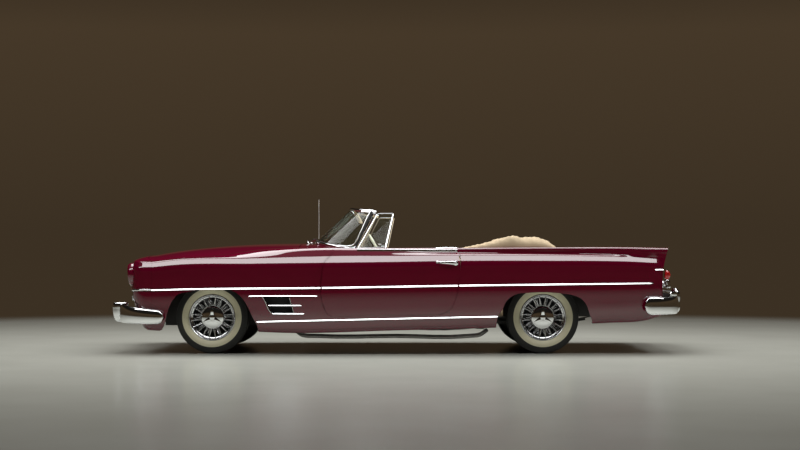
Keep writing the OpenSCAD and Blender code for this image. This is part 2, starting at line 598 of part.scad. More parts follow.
// Upper and lower arms from the frame to the kingpins, with the cross member between the rails.
module front_suspension() color(steel) {
    both_sides() for (h = [-1, 1]) difference() {
        z = axle_z + h * 108;
        union() {
            translate([front_axle_x, kingpin_y, z - 16]) cylinder(r = 24, h = 32);
            translate([front_axle_x, 0, z]) linear_extrude(16, center = true) polygon([[-24, kingpin_y],
                [24, kingpin_y], [90, 432], [-90, 432]]);
        }
        translate([front_axle_x, kingpin_y, z - 20]) cylinder(r = kingpin_bore_r, h = 40);
    }
    both_sides() block([front_axle_x - 100, 430, axle_z - 118], [front_axle_x + 100, 442, axle_z + 118]);
    block([front_axle_x - 60, -340, 262], [front_axle_x + 60, 340, 345]);
}
leaf_path = [[-760, 296], [-900, 280], [-1100, 270], [-1293, 268], [-1500, 280], [-1700, 312], [-1840, 352]];
module rear_axle() color(steel) {
    translate([rear_axle_x, 0, axle_z]) rotate([90, 0, 0]) {
        cylinder(r = 38, h = 1280, center = true);
        cylinder(r = spindle_r, h = 2 * (half_track + 12), center = true);
    }
    translate([rear_axle_x, 0, axle_z]) sphere(130);
    both_sides() for (k = [0 : 2]) translate([0, 550, -9 * k]) rotate([90, 0, 0]) linear_extrude(60)
        polygon(let (p = smooth([for (i = [min(k, 1) : 6 - min(k, 1)]) leaf_path[i]], 3)) concat(p,
            [for (i = [len(p) - 1 : -1 : 0]) p[i] - [0, 8]]));
    both_sides() block([rear_axle_x - 40, 490, 244], [rear_axle_x + 40, 550, 300]);
    both_sides() for (p = [leaf_path[0], leaf_path[6]])
        translate([p[0], 426, p[1] - 4]) rotate([-90, 0, 0]) cylinder(r = 16, h = 124);
}

// ---------- cabin ----------

module dashboard() color(paint) hull() {
    translate([440, -755, 880]) rotate([-90, 0, 0]) cylinder(r = 34, h = 1510, $fn = 32);
    translate([410, -755, 824]) rotate([-90, 0, 0]) cylinder(r = 24, h = 1510, $fn = 32);
    block([470, -735, 780], [500, 735, 896]);
}
steering_centre = [150, 380, 884];
module on_column() translate(steering_centre) rotate([0, 90 + column_angle, 0]) children();
column_end = 820;
module steering_column() color(steel) on_column() difference() {
    translate([0, 0, 40]) cylinder(r = 24, h = (column_end - steering_centre[0]) / cos(column_angle) - 60);
    translate([0, 0, 20]) cylinder(r = 12.05, h = 200);
}
module steering_wheel() color("#e8e2d0") on_column() {
    rotate_extrude($fn = 64) translate([steering_r - 12, 0]) circle(12);
    translate([0, 0, -6]) cylinder(r = 42, h = 32);
    translate([0, 0, 20]) cylinder(r = 12, h = 160);
    for (a = [0, 120, 240]) rotate([0, 0, a]) translate([30, -9, 4]) cube([steering_r - 48, 18, 8]);
}
module cushion(low, high, r) hull()
    for (x = [low[0] + r, high[0] - r], y = [low[1] + r, high[1] - r], z = [low[2] + r, high[2] - r])
        translate([x, y, z]) sphere(r, $fn = 16);
module front_seat() color(leather) meshed() difference() {
    both_sides() {
        cushion([-440, 16, 328], [70, 760, 500], 40);
        translate([-450, 0, 420]) rotate([0, -14, 0]) cushion([-110, 16, -60], [0, 760, 440], 40);
    }
    block([-640, -156, 300], [110, 156, 406]);
}
module rear_seat() color(leather) meshed() difference() {
    union() {
        cushion([-956, -570, 404], [-640, 570, 530], 36);
        cushion([-1030, -580, 545], [-930, 580, 890], 36);
    }
    both_sides() block([-1000, 336, 380], [-880, 434, 475]);
}
module quarter_trims() color(leather) both_sides() side_prism(800, 808)
    polygon([[-930, 330], [-620, 330], [-620, 880], [-1036, 880], [-1036, 745], [-930, 745]]);
module top_boot() color(canvas) meshed() {
    hull() for (y = [-700, 700]) {
        translate([-1080, y, 990]) sphere(48, $fn = 16);
        translate([-1290, y, 975]) sphere(42, $fn = 16);
        translate([-1400, y, 957]) sphere(20, $fn = 16);
        translate([-1060, y, 957]) sphere(20, $fn = 16);
    }
    both_sides() hull() {
        translate([-1060, 720, 985]) sphere(48, $fn = 16);
        translate([-1060, 770, 965]) sphere(28, $fn = 16);
        translate([-780, 765, 960]) sphere(28, $fn = 16);
        translate([-560, 790, 945]) sphere(12, $fn = 16);
    }
}

chassis_frame();
floor_pan();
wheelhouses();
sills();
front_fender_left();
front_fender_right();
nose_panel();
grille();
radiator();
bumper_front();
headlamps();
cowl_panel();
hood();
windshield_frame();
windshield_glass();
dashboard();
steering_column();
steering_wheel();
door_left();
door_right();
vent_window_left();
vent_window_right();
front_seat();
rear_seat();
quarter_trims();
quarter_panel_left();
quarter_panel_right();
top_boot();
tonneau_panel();
deck_lid();
tail_panel();
tail_lamps();
bumper_rear();
engine();
driveline();
front_suspension();
rear_axle();
exhaust();
fuel_tank();
antenna();
knuckle_left();
knuckle_right();
wheel_front_left();
wheel_front_right();
wheel_rear_left();
wheel_rear_right();
tyre_front_left();
tyre_front_right();
tyre_rear_left();
tyre_rear_right();
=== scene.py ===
import math

import bmesh
import bpy
import numpy as np
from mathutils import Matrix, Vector


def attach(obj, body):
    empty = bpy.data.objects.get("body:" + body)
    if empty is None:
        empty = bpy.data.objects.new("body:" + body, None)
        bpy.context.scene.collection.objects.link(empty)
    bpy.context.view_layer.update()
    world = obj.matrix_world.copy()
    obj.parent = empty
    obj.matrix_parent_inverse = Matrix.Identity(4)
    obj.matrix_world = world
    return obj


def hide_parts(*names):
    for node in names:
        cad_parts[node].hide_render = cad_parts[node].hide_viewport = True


bl_info = {
    "name": "Open Two-Door Car of the 1950s",
    "version": (1, 0, 0),
    "blender": (4, 5, 0),
    "location": "View3D > Sidebar > Open Car",
    "description": "Builds the car's body, trim, wheels, cabin and studio round its frame",
    "category": "Add Mesh",
}

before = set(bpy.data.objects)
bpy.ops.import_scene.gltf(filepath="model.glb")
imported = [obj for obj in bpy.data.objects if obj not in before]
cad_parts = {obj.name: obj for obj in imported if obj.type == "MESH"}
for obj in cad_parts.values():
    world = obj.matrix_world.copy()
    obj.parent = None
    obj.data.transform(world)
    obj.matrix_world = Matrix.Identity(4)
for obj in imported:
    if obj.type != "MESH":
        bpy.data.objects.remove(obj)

MM = 0.001
FRONT_AXLE = 1628.0
REAR_AXLE = -1293.0
AXLE_Z = 320.0
HALF_TRACK = 745.0
SHUT_GAP = 6.0
NOSE_X = 2150.0
NOSE_POWER = 0.47
NOSE_TAPER = 0.12
PAINT_SLOT = "paint"
SKIN = 8.0                  # how thick the outer panels are drawn
SKIN_STEP = 17.0            # between rings of the side's panels
REACH = 1100                # past the body's side, for what cuts it
SILL_FRONT, SILL_REAR = 597.5, -470.5
DOOR_INNER_Y = 846
LID_CROWN = 2.4
LID_COLUMNS = 48
BODY_MOULDING = (9.5, 8)    # half height and depth
ROCKER_MOULDING = (7.5, 6)
CREASE = 50                 # degrees, for bright parts
FADE_START, FADE_END = 7.5, 10.0
SIDES = (("left", 1), ("right", -1))


# ---------- smooth curves ----------

def slopes(gaps, ys):
    """Slopes, at each of the points ys, of the smooth curve through them; gaps lie between them."""
    chords = np.diff(ys, axis=0) / gaps
    middle = (chords[:-1] * gaps[1:] + chords[1:] * gaps[:-1]) / (gaps[:-1] + gaps[1:])
    return np.concatenate([chords[:1], middle, chords[-1:]])


def hermite(s, h, start, end, leaving, arriving):
    """Cubic from start to end, h long, at shares s of it, with its slopes at both ends."""
    return ((2 * s**3 - 3 * s**2 + 1) * start + (s**3 - 2 * s**2 + s) * h * leaving
            + (3 * s**2 - 2 * s**3) * end + (s**3 - s**2) * h * arriving)


def curve(table, x):
    """Value at x, a number or an array, of the smooth curve through the table's rows."""
    xs, ys = np.array(table, float).T
    tilt = slopes(np.diff(xs), ys)
    x = np.asarray(x, float)
    i = np.clip(np.searchsorted(xs, x, side="right") - 1, 0, len(xs) - 2)
    h = xs[i + 1] - xs[i]
    s = np.clip((x - xs[i]) / h, 0, 1)
    past = np.minimum(x - xs[0], 0) * tilt[0] + np.maximum(x - xs[-1], 0) * tilt[-1]
    return hermite(s, h, ys[i], ys[i + 1], tilt[i], tilt[i + 1]) + past


def spline(points, steps):
    """Smooth curve through the points, with steps[i] pieces, or steps of them, from point i to the next."""
    p = np.array(points, float)
    steps = [steps] * (len(p) - 1) if isinstance(steps, int) else steps
    gaps = np.linalg.norm(np.diff(p, axis=0), axis=1)
    tilt = slopes(gaps[:, None], p)
    made = [hermite((np.arange(count) / count)[:, None], gaps[i], p[i], p[i + 1], tilt[i], tilt[i + 1])
            for i, count in enumerate(steps)]
    return np.concatenate(made + [p[-1:]])


# ---------- the body's lines, in millimetres, as in the frame's source ----------

LINES = {
    "half_width": [(-2400, 884), (-2100, 925), (-1700, 962), (-1293, 985), (-550, 1000), (0, 1003),
                   (650, 998), (1250, 985), (1628, 972), (1950, 950), (2150, 925)],
    "bottom_z": [(-2400, 362), (-2213, 300), (-1864, 275), (-1500, 262), (-747, 230), (0, 211),
                 (927, 188), (1300, 200), (2060, 203), (2150, 208)],
    "rocker_z": [(-2400, 396), (-2213, 373), (-1293, 344), (0, 315), (1300, 285), (2150, 262)],
    "moulding_z": [(-2400, 627), (-2249, 625), (-546, 604), (666, 584), (1930, 570), (2150, 564)],
    "shoulder_z": [(-2400, 797), (-2100, 812), (-1293, 820), (-550, 819), (0, 810), (1250, 795),
                   (1950, 784), (2150, 765)],
    "roll_z": [(-2400, 832), (-2100, 850), (-1700, 862), (-550, 871), (650, 853), (1250, 843),
               (1950, 826), (2150, 803)],
    "crown_z": [(-2400, 866), (-2100, 872), (-1293, 884), (-550, 890), (650, 887), (863, 884),
                (1250, 870), (1628, 849), (1950, 833), (2150, 812)],
    "crown_in": [(-2400, 26), (-2100, 46), (-1700, 75), (-1293, 92), (-550, 88), (0, 74), (863, 72),
                 (1628, 80), (2150, 88)],
    "top_z": [(-2400, 926), (-2100, 932), (-1293, 932), (-550, 926), (0, 920), (863, 914), (1250, 890),
              (1628, 859), (1950, 838), (2150, 816)],
    "top_in": [(-2400, 32), (-2100, 54), (-1700, 84), (-1293, 98), (0, 98), (863, 100), (1628, 120),
               (2150, 128)],
    "ridge_z": [(-2400, 932), (-2100, 938), (-1293, 938), (-550, 933), (0, 930), (863, 928), (1250, 904),
                (1628, 865), (1950, 841), (2150, 818)],
    "ridge_in": [(-2400, 46), (-2100, 68), (-1700, 98), (-1293, 112), (0, 112), (863, 128), (1628, 160),
                 (2150, 168)],
    "foot_y": [(-2400, 818), (-2100, 838), (-1700, 846), (-1293, 850), (-900, 858), (-550, 868),
               (0, 868), (400, 868), (650, 826), (863, 815), (1628, 781), (1950, 757), (2150, 735)],
    "foot_z": [(-2400, 800), (-2330, 812), (-2100, 868), (-1700, 902), (-1293, 922), (-900, 930),
               (-550, 932), (0, 931), (400, 928), (650, 932), (863, 935), (1250, 910), (1628, 867),
               (1950, 842), (2150, 819)],
    "edge_y": [(-2400, 745), (-2100, 765), (-1700, 785), (-1293, 795), (-900, 812), (-550, 845),
               (0, 845), (400, 845), (650, 772), (863, 765), (1250, 758), (1628, 748), (1950, 728),
               (2150, 705)],
    "edge_z": [(-2400, 780), (-2330, 796), (-2100, 852), (-1700, 891), (-1293, 914), (-900, 926),
               (-550, 931), (0, 931), (400, 926), (650, 934), (863, 938), (1250, 914), (1628, 868),
               (1950, 842), (2150, 819), (2180, 823), (2210, 838), (2240, 865)],
}
ROW_STEPS = [2, 4, 4, 5, 5, 5, 2, 2, 3, 2, 5, 6, 5, 3, 3]
NOSE_FRONT = [(2262, 268), (2268, 262), (2298, 330), (2346, 430), (2378, 560), (2392, 672), (2391.5, 750),
              (2390, 768), (2385.2, 778.4), (2370.8, 809.6), (2366, 820), (2344, 838), (2318, 850),
              (2290, 858), (2266, 864), (2244, 869)]
TAIL_X = [(300, -2352), (560, -2338), (668, -2340), (753, -2347), (870, -2377), (932, -2393)]
DOOR_FRONT = [(540, 1010), (550, 940), (565, 879), (629, 800), (650, 695), (657, 537), (651, 485),
              (629, 412), (600, 358), (553, 334)]
DOOR_REAR = [(-384, 353), (-470, 400), (-519, 506), (-544, 641), (-563, 825), (-550, 911), (-540, 1010)]
FRONT_ARCH = [(2140, 150), (2106, 194), (2068, 212), (2040, 246), (2024, 300), (1972, 451), (1915, 523),
              (1804, 551), (1414, 550), (1357, 507), (1306, 434), (1256, 328), (1217, 250), (1205, 150)]
REAR_ARCH = [(-872, 150), (-872, 241), (-891, 345), (-919, 384), (-963, 473), (-1047, 529), (-1147, 540),
             (-1421, 537), (-1544, 518), (-1611, 490), (-1650, 451), (-1689, 356), (-1711, 295),
             (-1729, 200)]
HOOD_TOP = [(860, 980), (947, 980), (1140, 977), (1360, 969), (1635, 951), (1911, 924), (2048, 906),
            (2150, 888), (2200, 877), (2240, 868)]
DECK_TOP = [(-2400, 785), (-2322, 812), (-2250, 835), (-2100, 868), (-1900, 890), (-1700, 905),
            (-1470, 918), (-1293, 928), (-1000, 934)]


def line(name, x):
    return curve(LINES[name], x)


def section(x):
    """Feature points (y, z) of the body's section at x, from the bottom lip to the top's inner edge."""
    w, b, r = line("half_width", x), line("bottom_z", x), line("rocker_z", x)
    m, s = line("moulding_z", x), line("shoulder_z", x)
    roll_z = line("roll_z", x)
    roll = w - 16 - (0.6 - 0.3 * float(np.clip((-2270 - x) / 60, 0, 1))) * (roll_z - s)
    return np.array([
        (w - 105, b + 6), (w - 58, b), (w - 20, r), (w - 5, (r + m) / 2), (w, m), (w - 5, (m + s) / 2),
        (w - 9.5, s - 16), (w - 16, s), (0.8 * (w - 16) + 0.2 * roll, 0.8 * s + 0.2 * roll_z),
        (0.2 * (w - 16) + 0.8 * roll, 0.2 * s + 0.8 * roll_z), (roll, roll_z),
        (w - line("crown_in", x), line("crown_z", x)), (w - line("top_in", x), line("top_z", x)),
        (w - line("ridge_in", x), line("ridge_z", x)), (line("foot_y", x), line("foot_z", x)),
        (line("edge_y", x), line("edge_z", x))])


def side_ring(x):
    yz = spline(section(x), ROW_STEPS)
    return np.column_stack([np.full(len(yz), float(x)), yz])


def nose_ring(angle):
    """Ring of the nose: 90 degrees is where it starts on the left side, and 0 the middle."""
    front = spline(NOSE_FRONT, ROW_STEPS)
    side = side_ring(NOSE_X)
    c, s = math.cos(math.radians(angle)), math.sin(math.radians(angle))
    ahead = (front[:, 0] - NOSE_X) * max(c, 0) ** NOSE_POWER
    return np.column_stack([NOSE_X + ahead, (side[:, 1] - NOSE_TAPER * ahead) * abs(s) ** NOSE_POWER,
                            side[:, 2] + (front[:, 1] - side[:, 2]) * c])


def tail_ring():
    yz = spline(section(-2352), ROW_STEPS)
    return np.column_stack([curve(TAIL_X, yz[:, 1]), yz[:, 0] - 5, yz[:, 1]])


def side_grid(low, high, step):
    """Rings of the left side from x = low to high, the tail's slanted end first if low is below it."""
    rings = [tail_ring()] if low < -2340 else []
    start = max(low, -2328)
    count = max(2, int(math.ceil((high - start) / step)) + 1)
    return np.array(rings + [side_ring(x) for x in np.linspace(start, high, count)])


def side_y(x, z):
    """y of the body's side at x and z, below the top."""
    yz = spline(section(x), ROW_STEPS)[2:46]
    return float(np.interp(z, yz[:, 1], yz[:, 0]))


def unit(v):
    return v / np.maximum(np.linalg.norm(v, axis=-1, keepdims=True), 1e-9)


def grid_normals(g):
    along = np.gradient(g, axis=0)
    across = np.gradient(g, axis=1)
    return unit(np.cross(across, along))


# ---------- meshes ----------

def mesh_object(name, points, faces, look=None, sharp=35):
    """A mesh object from points in millimetres, with the finish called look.

    Edges over sharp degrees stay sharp."""
    mesh = bpy.data.meshes.new(name)
    mesh.from_pydata((np.asarray(points, float) * MM).tolist(), [], faces)
    obj = bpy.data.objects.new(name, mesh)
    bpy.context.scene.collection.objects.link(obj)
    if look:
        mesh.materials.append(finish(look))
    soften(obj, sharp)
    return obj


def soften(obj, sharp=35):
    obj.data.shade_smooth()
    obj.data.set_sharp_from_angle(angle=math.radians(sharp))


def between(name, outer, inner, look, sharp=35):
    """Closed shell between two grids of one size; outer is seen from outside."""
    n, m = outer.shape[:2]
    points = np.concatenate([outer.reshape(-1, 3), inner.reshape(-1, 3)])
    k = n * m
    faces = []
    for i in range(n - 1):
        for j in range(m - 1):
            a, b, c, d = i * m + j, i * m + j + 1, (i + 1) * m + j + 1, (i + 1) * m + j
            faces.append((a, b, c, d))
            faces.append((k + d, k + c, k + b, k + a))
    for i in range(n - 1):
        faces.append((i * m, (i + 1) * m, k + (i + 1) * m, k + i * m))
        a = i * m + m - 1
        faces.append((a, k + a, k + a + m, a + m))
    for j in range(m - 1):
        faces.append((j, k + j, k + j + 1, j + 1))
        a = (n - 1) * m + j
        faces.append((a + 1, k + a + 1, k + a, a))
    return mesh_object(name, points, faces, look, sharp)


def shell(name, grid, thickness, look, sharp=35):
    return between(name, grid, grid - thickness * grid_normals(grid), look, sharp)


def tube_grid(name, rings, look, closed=False, sharp=35):
    """Skin round a list of loops, with flat ends unless the list is closed."""
    rings = np.asarray(rings, float)
    n, m = rings.shape[:2]
    faces = []
    for i in range(n if closed else n - 1):
        for j in range(m):
            a, b = i * m, ((i + 1) % n) * m
            faces.append((a + j, b + j, b + (j + 1) % m, a + (j + 1) % m))
    if not closed:
        faces.append(tuple(range(m)))
        faces.append(tuple((n - 1) * m + j for j in reversed(range(m))))
    return mesh_object(name, rings.reshape(-1, 3), faces, look, sharp)


def sweep(name, path, profile, look, out=(0, 1, 0), sizes=None, closed=False, sharp=35):
    """profile, closed points (outward, sideways), drawn along path; out leads outward, one vector or one
    for each point, and sizes scale the profile at each point."""
    path = np.asarray(path, float)
    ahead = np.roll(path, -1, 0) - np.roll(path, 1, 0) if closed else np.gradient(path, axis=0)
    ahead = unit(ahead)
    out = np.broadcast_to(np.asarray(out, float), path.shape)
    outward = unit(out - (out * ahead).sum(1, keepdims=True) * ahead)
    sideways = np.cross(outward, ahead)
    profile = np.asarray(profile, float)
    sizes = np.ones((len(path), 2)) if sizes is None else np.asarray(sizes, float)
    rings = [p + np.outer(profile[:, 0] * s[0], o) + np.outer(profile[:, 1] * s[1], w)
             for p, o, w, s in zip(path, outward, sideways, sizes)]
    return tube_grid(name, rings, look, closed, sharp)


def oval(a, b, count=12, power=1.0):
    """Points of an oval, or with power under 1 of a squarer one."""
    t = np.linspace(0, 2 * math.pi, count, endpoint=False)
    c, s = np.cos(t), np.sin(t)
    return np.column_stack([a * np.sign(c) * np.abs(c) ** power, b * np.sign(s) * np.abs(s) ** power])


def bead(depth, half, count=7):
    """Half-round profile, depth out and half to each side, with a flat back."""
    t = np.linspace(-90, 90, count) * math.pi / 180
    return np.column_stack([depth * np.cos(t), half * np.sin(t)])


def lathe(name, profile, centre, axis, look, segments=96, sharp=35):
    """profile, points (radius, height), turned about axis through centre."""
    profile = np.asarray(profile, float)
    axis = unit(np.asarray(axis, float))
    start = np.array([0, 0, 1.0]) if abs(axis[2]) < 0.9 else np.array([1.0, 0, 0])
    u = unit(np.cross(start, axis))
    v = np.cross(axis, u)
    t = np.linspace(0, 2 * math.pi, segments, endpoint=False)
    rings = [np.asarray(centre) + np.outer(profile[:, 0] * math.cos(a), u)
             + np.outer(profile[:, 0] * math.sin(a), v) + np.outer(profile[:, 1], axis) for a in t]
    rings = np.array(rings)
    n, m = rings.shape[:2]
    faces = []
    for i in range(n):
        a, b = i * m, ((i + 1) % n) * m
        for j in range(m - 1):
            faces.append((a + j, a + j + 1, b + j + 1, b + j))
    obj = mesh_object(name, rings.reshape(-1, 3), faces, look, sharp)
    weld(obj)
    soften(obj, sharp)
    return obj


def weld(obj, distance=0.02):
    """Joins points closer than distance millimetres, if it isn't 0, and turns the faces outward."""
    bm = bmesh.new()
    bm.from_mesh(obj.data)
    if distance:
        bmesh.ops.remove_doubles(bm, verts=bm.verts, dist=distance * MM)
    bmesh.ops.recalc_face_normals(bm, faces=bm.faces)
    bm.to_mesh(obj.data)
    bm.free()


def box(name, low, high, look, round_by=0.0):
    """A box between two corners, with rounded edges."""
    lo, hi = np.array(low, float), np.array(high, float)
    points = [(x, y, z) for x in (lo[0], hi[0]) for y in (lo[1], hi[1]) for z in (lo[2], hi[2])]
    faces = [(0, 1, 3, 2), (4, 6, 7, 5), (0, 4, 5, 1), (2, 3, 7, 6), (0, 2, 6, 4), (1, 5, 7, 3)]
    obj = mesh_object(name, points, faces, look)
    return rounded(obj, round_by) if round_by else obj


def settle(obj):
    """Puts the result of the object's modifiers into its mesh."""
    shape = obj.evaluated_get(bpy.context.evaluated_depsgraph_get())
    mesh = bpy.data.meshes.new_from_object(shape)
    old = obj.data
    obj.modifiers.clear()
    obj.data = mesh
    bpy.data.meshes.remove(old)
    return obj


def rounded(obj, width):
    bevel = obj.modifiers.new("round", "BEVEL")
    bevel.width = width * MM
    bevel.segments = 3
    bevel.limit_method = "ANGLE"
    bevel.angle_limit = math.radians(30)
    settle(obj)
    soften(obj, 40)
    return obj


def join(name, objects):
    """One object from several, which vanish into it."""
    with bpy.context.temp_override(active_object=objects[0], object=objects[0],
                                   selected_editable_objects=objects, selected_objects=objects):
        bpy.ops.object.join()
    objects[0].name = name
    objects[0].data.name = name
    return objects[0]


def coordinates(obj):
    """The mesh's points in metres, one to a row."""
    co = np.empty(len(obj.data.vertices) * 3)
    obj.data.vertices.foreach_get("co", co)
    return co.reshape(-1, 3)


def reshaped(obj, points):
    """Moves a mesh to its mirror image's points and turns its faces."""
    obj.data.vertices.foreach_set("co", points.ravel())
    obj.data.flip_normals()
    obj.data.update()
    return obj


def mirrored(obj, name):
    """A copy of obj on the car's other side."""
    other = obj.copy()
    other.data = obj.data.copy()
    other.name = other.data.name = name
    bpy.context.scene.collection.objects.link(other)
    return reshaped(other, coordinates(other) * (1, -1, 1))


def on_both(maker, name, *parts):
    """One object that holds what maker makes on the left, and its mirror image."""
    left = maker(name + "_l", *parts)
    return join(name, [left, mirrored(left, name + "_r")])


def cut(obj, cutters, operation="DIFFERENCE"):
    """Cuts solid cutters from a solid, or with INTERSECT keeps what is in them."""
    for cutter in cutters:
        change = obj.modifiers.new("cut", "BOOLEAN")
        change.operation = operation
        change.solver = "MANIFOLD"
        change.object = cutter
        settle(obj)
    for cutter in cutters:
        bpy.data.objects.remove(cutter)
    if not len(obj.data.polygons):
        raise RuntimeError(obj.name + " was cut away")
    soften(obj, 32)
    return obj


def prism(outline, low, high):
    """Solid of an outline in x and z, from y = low to y = high."""
    outline = np.asarray(outline, float)
    area = np.sum(outline[:, 0] * np.roll(outline[:, 1], -1) - np.roll(outline[:, 0], -1) * outline[:, 1])
    if area < 0:
        outline = outline[::-1]
    rings = [np.column_stack([outline[:, 0], np.full(len(outline), y), outline[:, 1]]) for y in (low, high)]
    return tube_grid("prism", rings, None)


def place(obj, slot, *nodes, body="body"):
    """Ties a piece to its CAD body and hides the CAD nodes it stands for."""
    weld(obj, 0)
    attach(obj, body)
    if nodes:
        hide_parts(*nodes)
    return obj


def place_on_doors(*rows):
    """Places left pieces on the left door, then their mirror images on the right one.

    A row holds a left piece, its name, its slot and, if it stands for one, the start of its node's name.
    A mirror image is made from the placed piece."""
    for side, sign in SIDES:
        for left, name, slot, *nodes in rows:
            piece = left if sign > 0 else mirrored(left, name + "_right")
            piece.name = f"{name}_{side}"
            place(piece, slot, *(node + side for node in nodes), body=side + "_door")


# ---------- finishes ----------

class Value:
    """A shader socket that Python's operators work on, adding Math nodes."""

    def __init__(self, tree, socket):
        self.tree = tree
        self.socket = socket

    def math(self, operation, other):
        node = self.tree.nodes.new("ShaderNodeMath")
        node.operation = operation
        for slot, value in zip(node.inputs, (self, other)):
            feed(self.tree, slot, value)
        return Value(self.tree, node.outputs[0])

    def __add__(self, other):
        return self.math("ADD", other)

    def __mul__(self, other):
        return self.math("MULTIPLY", other)


def feed(tree, slot, value):
    """Links a Value to a socket, or sets a plain value in it."""
    if isinstance(value, Value):
        tree.links.new(value.socket, slot)
    else:
        slot.default_value = value


class Finish:
    """A material with its shader, and the nodes that feed it."""

    def __init__(self, name, colour, **sockets):
        self.material = bpy.data.materials.new(name)
        self.material.use_nodes = True
        self.tree = self.material.node_tree
        self.shader = self.tree.nodes["Principled BSDF"]
        self.colour = (*colour, 1.0)
        self.set("Base Color", self.colour)
        for key, value in sockets.items():
            self.set(key.replace("_", " "), value)

    def set(self, socket, value):
        feed(self.tree, self.shader.inputs[socket], value)

    def node(self, kind, out, settings=None, **values):
        """Adds a node, sets it up, then feeds its sockets, and gives back its output named out."""
        node = self.tree.nodes.new(kind)
        for key, value in (settings or {}).items():
            setattr(node, key, value)
        for key, value in values.items():
            socket = int(key[1:]) if key[1:].isdigit() else key.replace("_", " ")
            feed(self.tree, node.inputs[socket], value)
        return Value(self.tree, node.outputs[out])

    def where(self):
        """Place in the object, in metres."""
        return self.node("ShaderNodeTexCoord", "Object")

    def noise(self, scale, detail=3.0):
        return self.node("ShaderNodeTexNoise", "Fac", Vector=self.where(), Scale=scale, Detail=detail,
                         Roughness=0.55)

    def bands(self, scale, direction="Y"):
        """Smooth bands across the object."""
        settings = {"wave_type": "BANDS", "bands_direction": direction}
        return self.node("ShaderNodeTexWave", "Fac", settings, Vector=self.where(), Scale=scale)

    def blend(self, amount, first, second):
        """Colour between two, by amount."""
        return self.node("ShaderNodeMix", 2, {"data_type": "RGBA"}, n0=amount, n6=first, n7=second)

    def shade(self, amount, darker, lighter):
        """Base colour that goes from darker times the colour to lighter times it."""
        low = tuple(c * darker for c in self.colour[:3]) + (1.0,)
        high = tuple(min(1.0, c * lighter) for c in self.colour[:3]) + (1.0,)
        self.set("Base Color", self.blend(amount, low, high))

    def rough(self, amount, low, high):
        self.set("Roughness", amount * (high - low) + low)

    def bump(self, height, strength, distance):
        self.set("Normal", self.node("ShaderNodeBump", "Normal", Height=height, Strength=strength,
                                     Distance=distance))


# key: (material's name, colour or the property that holds it, shader's other sockets,
#       (noise scale, detail, darker, lighter), (noise scale, detail, smoothest, roughest),
#       (noise scale, detail, bump's strength, distance))
PLAIN_FINISHES = {
    "paint": ("burgundy_lacquer", "paint",
              {"Coat_Weight": 1.0, "Coat_Roughness": 0.01, "Coat_IOR": 1.8, "Specular_IOR_Level": 0.0},
              (900.0, 1.0, 0.86, 1.14), (3.0, 3.0, 0.27, 0.35), (260.0, 2.0, 0.03, 0.0004)),
    "chrome": ("bright_chrome", (0.80, 0.81, 0.83), {"Metallic": 1.0},
               (5.0, 3.0, 0.96, 1.03), (14.0, 4.0, 0.03, 0.08), None),
    "wheel_chrome": ("wheel_chrome", (0.74, 0.75, 0.77), {"Metallic": 1.0},
                     (30.0, 3.0, 0.88, 1.05), (40.0, 4.0, 0.07, 0.2), None),
    "rubber": ("black_rubber", (0.026, 0.026, 0.025), {"Specular_IOR_Level": 0.3},
               (160.0, 4.0, 0.7, 1.5), (12.0, 3.0, 0.52, 0.72), (160.0, 4.0, 0.12, 0.001)),
    "whitewall": ("cream_whitewall", "whitewall", {},
                  (9.0, 5.0, 0.86, 1.06), (30.0, 3.0, 0.48, 0.62), (220.0, 3.0, 0.05, 0.0006)),
    "carpet": ("beige_carpet", (0.36, 0.28, 0.18), {"Specular_IOR_Level": 0.1},
               (700.0, 2.0, 0.55, 1.25), (700.0, 2.0, 0.9, 1.0), (700.0, 2.0, 0.8, 0.003)),
    "glass": ("clear_glass", (0.86, 0.93, 0.91), {"Transmission_Weight": 1.0, "IOR": 1.15},
              None, (8.0, 3.0, 0.0, 0.02), None),
    "black_steel": ("black_underbody", (0.022, 0.021, 0.020), {},
                    (18.0, 6.0, 0.6, 1.9), (9.0, 3.0, 0.42, 0.75), (120.0, 3.0, 0.15, 0.001)),
    "iron": ("painted_iron", (0.10, 0.10, 0.105), {},
             (20.0, 6.0, 0.6, 1.4), (14.0, 3.0, 0.4, 0.7), (90.0, 3.0, 0.3, 0.002)),
    "pipe": ("exhaust_steel", (0.34, 0.33, 0.31), {"Metallic": 0.85},
             (16.0, 5.0, 0.5, 1.2), (22.0, 3.0, 0.28, 0.5), None),
    "mast": ("mast_steel", (0.80, 0.79, 0.76), {"Metallic": 0.35},
             (20.0, 3.0, 0.94, 1.04), (16.0, 3.0, 0.38, 0.5), None),
    "ivory": ("ivory_plastic", (0.72, 0.66, 0.50), {"Coat_Weight": 0.6, "Coat_Roughness": 0.08},
              (9.0, 4.0, 0.9, 1.06), (20.0, 3.0, 0.22, 0.34), None),
    "vent_black": ("vent_black", (0.008, 0.008, 0.009), {},
                   (25.0, 3.0, 0.6, 1.6), (20.0, 3.0, 0.6, 0.85), None),
}


def plain_finish(name, colour, sockets, shade, rough, bump):
    """A finish from a row of the table."""
    if isinstance(colour, str):
        colour = getattr(bpy.context.scene.car_colours, colour)
    f = Finish(name, colour, **sockets)
    for apply, row in ((f.shade, shade), (f.rough, rough), (f.bump, bump)):
        if row:
            apply(f.noise(*row[:2]), *row[2:])
    return f


def hide():
    f = Finish("beige_leather", bpy.context.scene.car_colours.leather, Specular_IOR_Level=0.4)
    grain = f.node("ShaderNodeTexVoronoi", "Distance", Vector=f.where(), Scale=420.0)
    f.shade(f.noise(7.0, 5.0), 0.82, 1.08)
    f.rough(f.noise(26.0), 0.42, 0.6)
    f.bump(grain * 0.6 + f.noise(60.0) * 0.8, 0.22, 0.0008)
    return f


